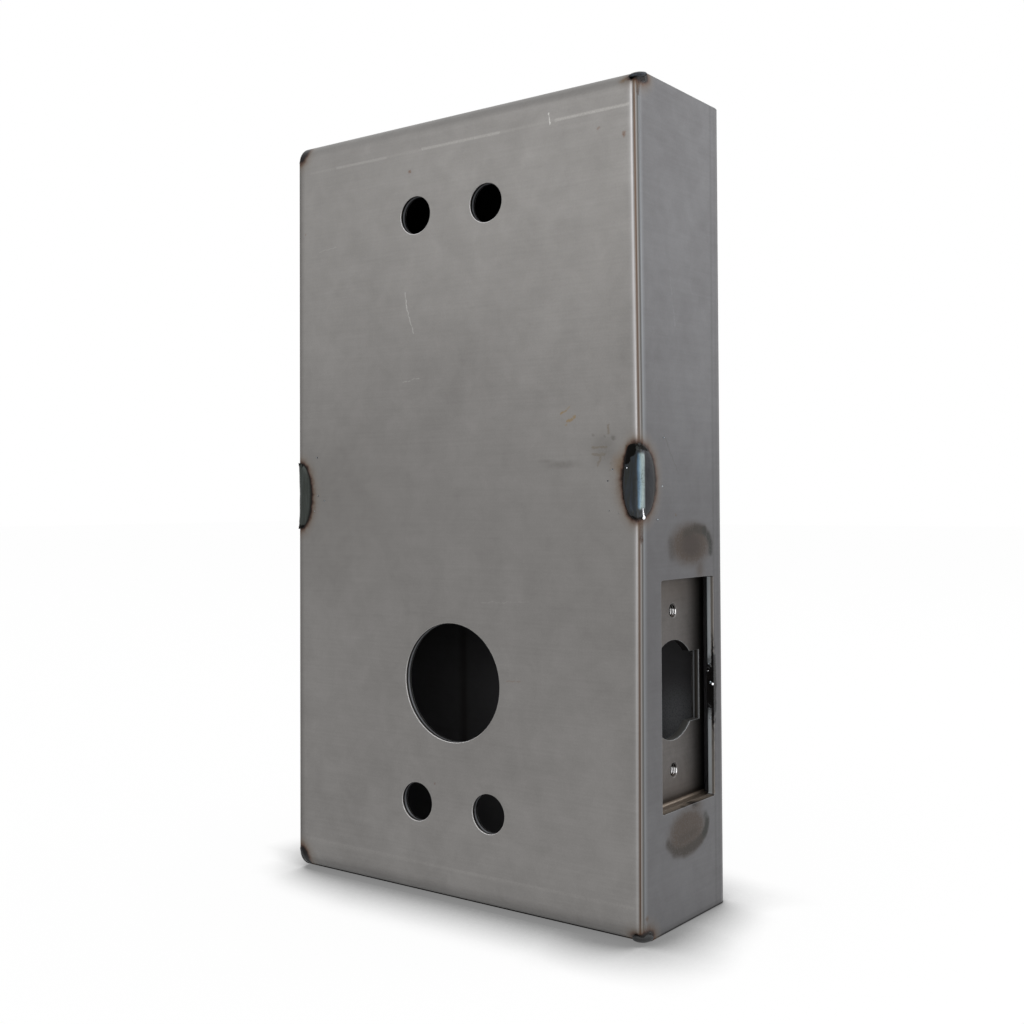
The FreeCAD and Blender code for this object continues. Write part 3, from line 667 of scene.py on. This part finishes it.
def weldMaterial(name, crusts=(), glintShare=0.72, crest=None, **changes):
    look = dict(weldLook, **changes)
    made, tree, point = startMaterial(name)
    flow = addNode(tree, "Mapping", {"Vector": point, "Scale": (1.0, 1.0, 0.12)})
    streak = addNode(tree, "TexNoise", {"Vector": flow, "Scale": 1.1, "Detail": 4.0, "Roughness": 0.6})
    speck = addNode(tree, "TexNoise", {"Vector": point, "Scale": 2.6, "Detail": 4.0, "Roughness": 0.7})
    sweep = where(tree, (streak.outputs["Fac"], 0.36, 0.64))
    colour = layColour(tree, fromHex(look["skin"]), sweep, look["blue"])
    colour = layColour(tree, colour, where(tree, (speck.outputs["Fac"], glintShare, glintShare + 0.05)),
                       look["bright"])
    shine = 1.0
    if crest:
        facing, spot, _ = readPlace(tree, point)
        total = addNode(tree, "Math", [facing["X"], facing["Y"]])
        turned = addNode(tree, "Math", [facing["X"], total], operation="DIVIDE")
        flecked = addNode(tree, "Math", [streak.outputs["Fac"], speck.outputs["Fac"]])
        lit = where(tree, addMarks(tree, point, spotMark, [crest]), (flecked, 0.62, 1.02))
        past = where(tree, (spot["Y"], frontPlane / mm + 3.6, frontPlane / mm + 4.4))
        lit = where(tree, lit, (past, 1.0, 0.0))
        colour = layBand(tree, colour, turned, crestHighlightColours, lit)
        colour = layColour(tree, colour, where(tree, past, 0.9), "#1c1d21")  # painted shade where it turns from the light
        shine = where(tree, (where(tree, past, 0.88), 1.0, 0.0))
    crust = addMarks(tree, point, spotMark, crusts) if crusts else 0.0
    crustGrain = addNode(tree, "TexNoise", {"Vector": point, "Scale": 1.4, "Detail": 5.0, "Roughness": 0.7})
    crusted = addNode(tree, "Math", [crust, crustGrain.outputs["Fac"]])
    crustMask = where(tree, (crusted, 0.85, 1.05))
    colour = layColour(tree, colour, crustMask, look["crust"])
    toe = addNode(tree, "Attribute", attribute_name="toe")
    colour = layColour(tree, colour, where(tree, (toe.outputs["Fac"], 0.25, 0.7), 0.8), look["crust"])
    colour = layColour(tree, colour, where(tree, (toe.outputs["Fac"], 0.6, 1.0), 0.7), look["brown"])
    rough = addNode(tree, "MapRange", {
        "Value": crustMask, "To Min": look["roughness"], "To Max": look["crustRoughness"]})
    rough = addNode(tree, "Math", [rough, where(tree, speck.outputs["Fac"], 0.16)])
    height = where(tree, crustGrain.outputs["Fac"], crustMask)
    relief = addNode(tree, "Math", [height, where(tree, speck.outputs["Fac"], 0.1)])
    endMaterial(tree, colour, look["metallic"], rough,
                {"Strength": 0.6, "Distance": 0.25 * mm, "Height": relief}, shine)
    return made


def meltedDepth(fromMiddle):
    # how far the arc has eaten the front sheet's edge back, as the solid has it
    radius = tackLook["meltLength"] * 0.75
    if abs(fromMiddle) >= radius:
        return 0.0
    return max(0.0, math.sqrt(radius ** 2 - fromMiddle ** 2) - radius + tackLook["meltDepth"])


def toeRise(out):
    # how high a bead stands, between its crown and its toe
    return (1 - out ** 2.6) ** 0.6


def tackSection(reachFront, reachSide, rounding, crown, share):
    # a point on the bead's cross-section, in millimetres from the box's sharp corner, and how near its toe
    bend = min(rounding, reachFront * 0.8, reachSide * 0.8)
    frontRun, arcRun, sideRun = reachFront - bend, bend * math.pi / 2, reachSide - bend
    travelled = share * (frontRun + arcRun + sideRun)
    sink = tackLook["sink"]
    if travelled < frontRun:
        out = min(1.0, 1 - travelled / frontRun)
        rise = toeRise(out)
        return -bend - out * frontRun, -crown * rise + sink * (1 - rise), out
    if travelled < frontRun + arcRun:
        angle = (travelled - frontRun) / bend - math.pi / 2
        return -bend + (bend + crown) * math.cos(angle), bend + (bend + crown) * math.sin(angle), 0.0
    out = min(1.0, (travelled - frontRun - arcRun) / max(sideRun, 1e-6))
    rise = toeRise(out)
    return crown * rise - sink * (1 - rise), bend + out * sideRun, out


def makeSideTack(which, material):
    look = tackLook
    side, middle, halfLength, across, along = look["places"][which]
    build = bmesh.new()
    toe = build.verts.layers.float.new("toe")
    rows, columns = look["grid"]
    sideEnd, frontEnd, fullness = look["ends"]
    grid = []
    for row in range(rows + 1):
        up = math.sin((row / rows - 0.5) * math.pi)  # -1 at the bottom end, 1 at the top
        swell = max(1 - abs(up) ** sideEnd, 0.0) ** fullness
        frontSwell = max(1 - abs(up) ** frontEnd, 0.0) ** fullness
        if up > 0 and side > 0:  # the right tack starts in a blunt corner
            frontSwell = (1 - 0.32 * up) * max(1 - up ** 30, 0.0) ** fullness
        melted = meltedDepth(up * halfLength) / look["meltDepth"]
        bend = look["endRound"] + (look["cornerRound"][which] - look["endRound"]) * melted ** 0.7
        crown = look["crown"] * max(swell, 0.001) ** 0.35
        line = []
        for column in range(columns + 1):
            x, y, out = tackSection(across * frontSwell, along * swell, bend * min(1.0, swell * 1.6) + 1e-4,
                                    crown, column / columns)
            z = middle + up * halfLength
            point = build.verts.new((side * (sidePlane + x * mm), frontPlane + y * mm, z * mm))
            point[toe] = max(out ** 4.5, abs(up) ** 20)
            line.append(point)
        grid.append(line)
    for row in range(rows):
        for column in range(columns):
            corners = [grid[row][column], grid[row][column + 1], grid[row + 1][column + 1],
                       grid[row + 1][column]]
            build.faces.new(corners if side > 0 else corners[::-1])
    bmesh.ops.remove_doubles(build, verts=build.verts, dist=0.004 * mm)
    build.normal_update()
    for point in build.verts:
        spot = point.co / mm
        inside = 1 - point[toe]
        lag = 0.10 * (spot.y - frontPlane / mm) ** 1.1 if spot.y > frontPlane / mm else 0.0
        ripple = math.sin((spot.z + lag) / look["ripplePitch"] * 2 * math.pi)
        lump = noise.noise(spot * 0.22 + Vector((side * 3.1, 7.7, 1.3))) * 2
        lump += noise.noise(spot * 0.9 + Vector((side * 9.1, 2.7, 5.3))) * 0.3
        point.co += point.normal * mm * inside * (ripple * look["rippleHeight"] + lump * look["lumpHeight"])
    shell = finishMesh(f"tack_{which}", toMesh(f"tack_{which}", build), material)
    thick = shell.modifiers.new("thickness", "SOLIDIFY")
    thick.thickness = look["thickness"] * mm
    thick.offset = -1
    closed = evaluatedMesh(shell)
    shell.modifiers.clear()
    shell.data = closed
    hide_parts(f"side_weld_{which}")
    return shell


tackCrusts = {
    "right": [
        ((65.4, -29.0, 143.0), (3.6, 2.5, 3.4), 0.4, 0.80),
        ((65.0, -29.0, 140.4), (1.9, 2.5, 2.8), 0.5, 0.75),
        ((68.3, -24.0, 143.6), (3.5, 9.0, 2.4), 0.8, 0.62),
        ((67.0, -27.0, 122.6), (6.0, 6.0, 2.2), 0.9, 0.60)],
    "left": [
        ((-67.0, -28.0, 140.8), (6.0, 6.0, 2.6), 0.9, 0.50),
        ((-67.0, -28.0, 119.2), (6.0, 6.0, 2.6), 0.9, 0.55)],
}
tackCrestHighlights = {"right": ((68.2, -26.4, 133.6), (7.0, 7.0, 8.7), 0.14, 1.0)}
makeSideTack("right", weldMaterial("bluedTackRight", tackCrusts["right"], crest=tackCrestHighlights["right"],
                                    skin="#2b2c29", blue="#2f3339"))
makeSideTack("left", weldMaterial("bluedTackLeft", tackCrusts["left"], skin="#343734", blue="#3c403e"))
print("side tacks done")

# Small flat tacks that close the four corners, lying across the ends of the folds
cornerLook = {  # middle as on the right side, half sizes along, through and across, turn and climb
    "top_right": ((67.40, -25.0, 252.7), (3.9, 1.35, 0.90), 12.0, 17.0),
    "bottom_right": ((67.15, -24.9, 1.55), (4.0, 1.5, 1.35), 16.0, -10.0),
    "top_left": ((66.60, -26.15, 250.6), (3.8, 1.30, 1.10), -35.3, 49.1),
    "bottom_left": ((66.30, -26.8, 3.9), (3.6, 1.6, 1.20), -53.5, -56.3),
    "lumpHeight": 0.07,
    "proud": 0.25,  # how far the top ones may stand over the box
    "flattening": 0.3,
    "ground": 0.02,
}


def makeCornerTack(which, side, seed, material):
    centre, (along, through, across), turn, climb = cornerLook[which]
    build = bmesh.new()
    toe = build.verts.layers.float.new("toe")
    bmesh.ops.create_icosphere(build, subdivisions=5, radius=1.0)
    lean = Matrix.Rotation(math.radians(-turn), 4, "Z") @ Matrix.Rotation(math.radians(climb), 4, "X")
    top, soft = topPlane / mm + cornerLook["proud"], cornerLook["flattening"]
    for point in build.verts:
        direction = point.co.copy()
        lump = noise.noise(direction * 1.0 + Vector((seed, 0, 0)))
        lump += noise.noise(direction * 2.6 + Vector((0, seed, 0))) * 0.35
        swell = 1 + lump * cornerLook["lumpHeight"]
        spot = Vector(centre) + lean @ Vector((direction.x * through, direction.y * along,
                                               direction.z * across)) * swell
        if spot.z > top - soft:  # flattened softly under that level
            spot.z = top - soft * math.exp(-(spot.z - top + soft) / soft)
        spot.z = max(spot.z, cornerLook["ground"])
        point.co = Vector((side * spot.x, spot.y, spot.z)) * mm
        point[toe] = 0.0
    bmesh.ops.recalc_face_normals(build, faces=build.faces)
    name = f"tack_corner_{which}"
    return finishMesh(name, toMesh(name, build), material, (f"corner_weld_{which}",))


cornerMaterials = {
    "top": weldMaterial("sootyCornerTackTop", [
        ((tackSide * x, y, height), (3.0, 2.6, 2.0), 0.9, 0.5)
        for tackSide in (-1, 1) for x, y, height in ((68.6, -22.0, 253.2), (66.4, -28.6, 250.6))]),
    # painted shade: the bottom tacks get a darker, duller copy of the weld finish
    "bottom": weldMaterial("shadedCornerTackBottom", skin="#1a1919", blue="#1c1e20", brown="#2a201a",
                           roughness=0.50, metallic=0.30),
}
seed = 1.7
for side, sideName in ((-1, "left"), (1, "right")):
    for level in ("top", "bottom"):
        makeCornerTack(f"{level}_{sideName}", side, seed, cornerMaterials[level])
        seed += 4.3
print("corner tacks done")


# Geometry Nodes: what repeats. Each tree starts from a carrier mesh and its named inputs.
def grow(name, tree, carrier, values, material, replaced=()):
    # the tree's result on the carrier, as a plain mesh of its own
    worker = addObject(f"{name}_carrier", carrier)
    modifier = worker.modifiers.new("grow", "NODES")
    modifier.node_group = tree
    values = {**values, "Material": material}
    for item in tree.interface.items_tree:
        if item.in_out == "INPUT" and item.name in values:
            modifier[item.identifier] = values[item.name]
    grown = evaluatedMesh(worker)
    worker.modifiers.clear()
    bpy.data.objects.remove(worker)
    grown.name = name
    return finishMesh(name, grown, material, replaced)


def startTree(name, inputs):
    return startGroup(name, "GeometryNodeTree", {"Geometry": "Geometry", **inputs, "Material": "Material"},
                      {"Geometry": "Geometry"})


def endTree(tree, given, geometry):
    plain = addNode(tree, "GeometryNodeRealizeInstances", {"Geometry": geometry})
    faced = addNode(tree, "GeometryNodeSetMaterial", {"Geometry": plain, "Material": given["Material"]})
    addNode(tree, "NodeGroupOutput", {"Geometry": faced})


# Frozen puddles, one lapping the next, along a line of points
footLook = {"puddle": (1.84, 1.5, 1.955), "halfLength": 10.0, "pitch": 1.3, "unevenness": 0.14, "seed": 3}
puddleTree, given = startTree("puddleBead", {
    "Puddle size": "Vector", "Unevenness": "Float", "Seed": "Int"})
puddle = addNode(puddleTree, "GeometryNodeMeshIcoSphere", {"Radius": 1.0, "Subdivisions": 4})
low = addNode(puddleTree, "Math", [1.0, given["Unevenness"]], operation="SUBTRACT")
uneven = addNode(puddleTree, "FunctionNodeRandomValue", {
    2: low, 3: 1.0, "Seed": given["Seed"]}, data_type="FLOAT")
sized = addNode(puddleTree, "VectorMath", {
    0: given["Puddle size"], "Scale": uneven.outputs[1]}, operation="SCALE")
laid = addNode(puddleTree, "GeometryNodeInstanceOnPoints", {
    "Points": given["Geometry"], "Instance": puddle.outputs["Mesh"],
    "Rotation": (math.radians(24), 0.0, 0.0), "Scale": sized})
endTree(puddleTree, given, laid)

footMaterial = weldMaterial("sootyFootWeld")
for end, height in (("upper", strapHigh.z), ("lower", strapLow.z)):
    build = bmesh.new()
    count = int(2 * footLook["halfLength"] / footLook["pitch"])
    for step in range(count + 1):
        build.verts.new((sidePlane - sheet - 0.3 * mm,
                         latchAxisY + (step / count * 2 - 1) * (footLook["halfLength"] - 1.4) * mm, height))
    grow(f"foot_weld_{end}", puddleTree, toMesh("footLine", build),
         {"Puddle size": [half * mm for half in footLook["puddle"]], "Unevenness": footLook["unevenness"],
          "Seed": footLook["seed"]}, footMaterial, (f"bracket_weld_{end}",))

# Threads cut in the bracket's two tapped holes: a ridge that winds down the wall
threadTree, given = startTree("tappedThread", {
    "Turns": "Float", "Radius": "Float", "Depth": "Float", "Ridge": "Float"})
coil = addNode(threadTree, "GeometryNodeCurveSpiral", {
    "Resolution": 40, "Rotations": given["Turns"], "Start Radius": given["Radius"],
    "End Radius": given["Radius"], "Height": given["Depth"]})
crest = addNode(threadTree, "GeometryNodeCurvePrimitiveCircle", {
    "Resolution": 6, "Radius": given["Ridge"]})
ridge = addNode(threadTree, "GeometryNodeCurveToMesh", {
    "Curve": coil, "Profile Curve": crest.outputs["Curve"], "Fill Caps": True})
laid = addNode(threadTree, "GeometryNodeInstanceOnPoints", {
    "Points": given["Geometry"], "Instance": ridge, "Rotation": (0.0, math.pi / 2, 0.0)})
endTree(threadTree, given, laid)

# Freshly tapped steel: bright, still slightly oily, with the tap's chatter
threadSteel, tree, point = startMaterial("freshTappedThread")
chatter = addNode(tree, "TexNoise", {"Vector": point, "Scale": 3.0, "Detail": 3.0}).outputs["Fac"]
# the threads carry layGlint's painted highlight and shade
colour = layGlint(tree, layColour(tree, fromHex("#8f8c89"), chatter, "#e2e1df"), point, 0.85)
rough = addNode(tree, "MapRange", {"Value": chatter, "To Min": 0.12, "To Max": 0.36})
endMaterial(tree, colour, 1.0, rough, {"Strength": 0.3, "Distance": 0.05 * mm, "Height": chatter})
build = bmesh.new()
for end in (-0.5, 0.5):
    build.verts.new((strapLow.x + threadLook["inset"] * mm, latchAxisY,
                     latchAxisZ + end * threadLook["spacing"] * mm))
depth = sheet / mm - 2 * threadLook["inset"]
grow("tapped_threads", threadTree, toMesh("threadPoints", build),
     {"Turns": depth / threadLook["pitch"], "Radius": threadLook["radius"] * mm, "Depth": depth * mm,
      "Ridge": threadLook["ridge"] * mm}, threadSteel)

# Spatter: small balls frozen to the steel round the welds
spatterLook = {"seed": 11, "nearTack": 7, "sizes": (0.14, 0.30), "onFront": 0.6, "flatness": 0.75}
spatterTree, given = startTree("spatter", {"Flatness": "Float", "Seed": "Int"})
ball = addNode(spatterTree, "GeometryNodeMeshIcoSphere", {"Radius": 1.0, "Subdivisions": 3})
size = addNode(spatterTree, "GeometryNodeInputNamedAttribute", {"Name": "size"}, data_type="FLOAT")
spin = addNode(spatterTree, "FunctionNodeRandomValue", {
    0: (0, 0, 0), 1: (3.1, 3.1, 3.1), "Seed": given["Seed"]}, data_type="FLOAT_VECTOR")
squashed = addNode(spatterTree, "CombineXYZ", [1.0, 1.0, given["Flatness"]])
sized = addNode(spatterTree, "VectorMath", {0: squashed, "Scale": size}, operation="SCALE")
laid = addNode(spatterTree, "GeometryNodeInstanceOnPoints", {
    "Points": given["Geometry"], "Instance": ball, "Rotation": spin, "Scale": sized})
endTree(spatterTree, given, laid)

shotMaterial = weldMaterial("frozenSpatter", glintShare=0.50)

# Balls that froze clean: bright silvery steel with a faint wrinkle
brightMaterial, tree, point = startMaterial("cleanFrozenBall")
wrinkle = addNode(tree, "TexNoise", {"Vector": point, "Scale": 4.0, "Detail": 2.0}).outputs["Fac"]
endMaterial(tree, layColour(tree, fromHex("#dfe2ea"), wrinkle, "#ffffff"), 1.0,
            where(tree, (wrinkle, -0.6, 4.0)), {"Strength": 0.2, "Distance": 0.05 * mm, "Height": wrinkle})

scatter = random.Random(spatterLook["seed"])
brightShots = [  # the ones that show in the photograph: place and size
    ((68.6, -25.4, 122.9), 0.60), ((68.6, -25.5, 123.6), 0.40), ((68.6, -25.6, 124.1), 0.32),
    ((68.6, -25.7, 124.6), 0.30), ((68.6, -25.75, 125.1), 0.26), ((68.6, -25.8, 125.5), 0.20),
    ((65.2, -28.9, 137.4), 0.24), ((67.8, 18.75, 69.9), 0.50), ((66.3, 18.8, 73.9), 0.24),
]
shots = [((67.0, 18.8, 70.3), 0.50), ((66.5, 18.85, 76.0), 0.36), ((66.9, 18.85, 59.0), 0.30)]
for side, middle, halfLength, across, along in tackLook["places"].values():
    for _ in range(spatterLook["nearTack"]):
        height = middle + scatter.uniform(-1.25, 1.25) * halfLength
        shot = scatter.uniform(*spatterLook["sizes"])
        if scatter.random() < spatterLook["onFront"]:
            spot = (side * (sidePlane / mm - across - scatter.uniform(1.0, 9.0)), frontPlane / mm, height)
        else:
            spot = (side * sidePlane / mm, frontPlane / mm + along + scatter.uniform(1.0, 8.0), height)
        shots.append((spot, shot))
for name, group, material in (("weld_spatter", shots, shotMaterial),
                              ("bright_spatter", brightShots, brightMaterial)):
    points = bpy.data.meshes.new("shotPoints")
    points.from_pydata([tuple(axis * mm for axis in place) for place, _ in group], [], [])
    sizes = points.attributes.new("size", "FLOAT", "POINT")
    sizes.data.foreach_set("value", [shot * mm for _, shot in group])
    grow(name, spatterTree, points, {"Flatness": spatterLook["flatness"], "Seed": 5}, material)
print("foot welds, threads and spatter done")

# Camera at the photograph's place, fitted to the box's corners and holes
cameraLook = {
    "place": (0.25793, -0.35734, 0.12793),
    "yaw": 0.6654,
    "pitch": 0.0218,
    "roll": 0.0037,
    "lens": 45.782,
    "shiftX": 0.0601,
    "shiftY": -0.0382,
}
yaw, pitch, roll = cameraLook["yaw"], cameraLook["pitch"], cameraLook["roll"]
forward = Vector((-math.sin(yaw) * math.cos(pitch), math.cos(yaw) * math.cos(pitch), math.sin(pitch)))
right = Vector((math.cos(yaw), math.sin(yaw), 0))
down = forward.cross(right)
rolledRight = right * math.cos(roll) + down * math.sin(roll)
rolledDown = down * math.cos(roll) - right * math.sin(roll)
cameraData = bpy.data.cameras.new("photoCamera")
cameraData.lens = cameraLook["lens"]
cameraData.sensor_width = 36
cameraData.shift_x = cameraLook["shiftX"]
cameraData.shift_y = cameraLook["shiftY"]
cameraData.clip_start = 0.01
cameraData.clip_end = 50
camera = addObject("photoCamera", cameraData)
turned = Matrix((rolledRight, -rolledDown, -forward)).transposed().to_4x4()
camera.matrix_world = Matrix.Translation(cameraLook["place"]) @ turned
bpy.context.scene.camera = camera
print("camera done")

# Studio: pale sweep and white surround, soft lamps at a plain level
stageLook = {
    "floorSize": 12.0,
    "floorGrey": 0.62,  # what the floor gives back to the object
    "shadowReach": (0.0355, 0.022),  # how far the contact shadow spreads before and behind the box
    "farReach": 0.018,  # and how much further past the rear and the left foot
    "shadowGrey": 0.06,
    "shadowDepth": 0.215,
    "glossyLift": 0.65,  # how much of that shadow the steel's reflection leaves out
    "surround": 0.85,
}
bpy.context.scene.view_settings.view_transform = "Standard"
world = bpy.data.worlds.new("studioSurround")
bpy.context.scene.world = world
tree = emptyTree(world)


def addSeen(tree):
    # 1 for what the camera, glossy metal and glass see, 0 for light that only brightens a surface
    rays = addNode(tree, "LightPath")
    seen = addNode(tree, "Math", [
        rays.outputs["Is Camera Ray"], rays.outputs["Is Glossy Ray"]], operation="MAXIMUM")
    return addNode(tree, "Math", [seen, rays.outputs["Is Transmission Ray"]], operation="MAXIMUM")


level = addNode(tree, "Mix", {0: addSeen(tree), 2: stageLook["surround"], 3: 1.0}, data_type="FLOAT")
glow = addNode(tree, "Background", {"Color": (1, 1, 1, 1), "Strength": level})
addNode(tree, "OutputWorld", {"Surface": glow})

build = bmesh.new()
bmesh.ops.create_grid(build, x_segments=8, y_segments=8, size=stageLook["floorSize"] / 2,
                      matrix=Matrix.Translation((0, 0, -0.0003)))
floor = addObject("floor", toMesh("floor", build))
floorPaint = bpy.data.materials.new("paleFloor")
tree = emptyTree(floorPaint)
matte = addNode(tree, "BsdfDiffuse", {"Color": (*(stageLook["floorGrey"],) * 3, 1)})
faint = addNode(tree, "BsdfDiffuse", {"Color": (*(stageLook["shadowGrey"],) * 3, 1)})
place = addNode(tree, "NewGeometry").outputs["Position"]
spot = addNode(tree, "SeparateXYZ", [place]).outputs
before, behind = stageLook["shadowReach"]
reach = addNode(tree, "MapRange", {"Value": spot["Y"], "From Min": frontPlane,
                                   "From Max": backPlane, "To Min": before, "To Max": behind})
leftShare = addNode(tree, "MapRange", {"Value": spot["X"], "From Min": -sidePlane - 10 * mm,
                                       "From Max": -sidePlane + 40 * mm, "To Min": 0.64, "To Max": 1.0})
cornerShare = addNode(tree, "MapRange", {"Value": spot["X"], "From Min": sidePlane - 24 * mm,
                                         "From Max": sidePlane + 5 * mm, "To Min": 1.0, "To Max": 1.32})
nearSide = where(tree, (spot["Y"], frontPlane + 12 * mm, frontPlane - 5 * mm))
cornerShare = addNode(tree, "Mix", {0: nearSide, 2: 1.0, 3: cornerShare}, data_type="FLOAT")
reach = where(tree, reach, leftShare, cornerShare)
rearward = where(tree, (spot["Y"], backPlane - 5 * mm, backPlane + 12 * mm), stageLook["farReach"])
leftward = where(tree, (spot["X"], -sidePlane + 2 * mm, -sidePlane - 8 * mm),
                 (spot["Y"], -27 * mm, -16 * mm))
reach = addNode(tree, "Math", [reach, rearward])
reach = addNode(tree, "Math", [leftward, stageLook["farReach"], reach], operation="MULTIPLY_ADD")
closed = addNode(tree, "AmbientOcclusion", {"Distance": reach}, samples=16)
# round the near corner the occlusion opens out too soon, so a painted shadow is added there
corner = (sidePlane + 1.5 * mm, frontPlane - 1.5 * mm, 0.0)
cornerGap = addNode(tree, "VectorMath", [place, corner], operation="DISTANCE").outputs["Value"]
kept = where(tree, (cornerGap, 0.03, 0.0), 0.13)
closed = addNode(tree, "Math", [closed.outputs["AO"], kept], operation="SUBTRACT")
shade = addNode(tree, "MapRange", {
    "Value": closed, "From Min": 0.5, "From Max": 0.935, "To Min": stageLook["shadowDepth"],
    "To Max": 1.0 - stageLook["shadowGrey"] * 1.02})
lift = where(tree, addNode(tree, "LightPath").outputs["Is Glossy Ray"], stageLook["glossyLift"])
lifted = addNode(tree, "Mix", {0: lift, 2: shade, 3: 1.0}, data_type="FLOAT")
glow = addNode(tree, "Emission", {"Color": (1, 1, 1, 1), "Strength": lifted})
shown = addNode(tree, "AddShader", [faint, glow])
blend = addNode(tree, "MixShader", [addSeen(tree), matte, shown])
addNode(tree, "OutputMaterial", {"Surface": blend})
floor.data.materials.append(floorPaint)

lamps = {  # place, aim, width, height in metres, watts
    "frontSoftbox": ((-0.32, -1.16, 0.88), (0.0, -0.03, 0.88), 1.2, 1.1, 3.9),
    "sideSoftbox": ((0.81, 0.95, 0.78), (0.07, 0.0, 0.78), 1.2, 1.1, 4.0),
    "edgeSoftbox": ((0.897, -0.078, 0.52), (0.068, -0.029, 0.52), 0.84, 0.95, 3.5),
}
for name, (place, aim, width, height, power) in lamps.items():
    lampData = bpy.data.lights.new(name, "AREA")
    lampData.shape = "RECTANGLE"
    lampData.size = width
    lampData.size_y = height
    lampData.energy = power
    lamp = addObject(name, lampData)
    lamp.location = place
    lamp.rotation_mode = "QUATERNION"
    lamp.rotation_quaternion = (Vector(aim) - Vector(place)).to_track_quat("-Z", "Y")
print("studio done")
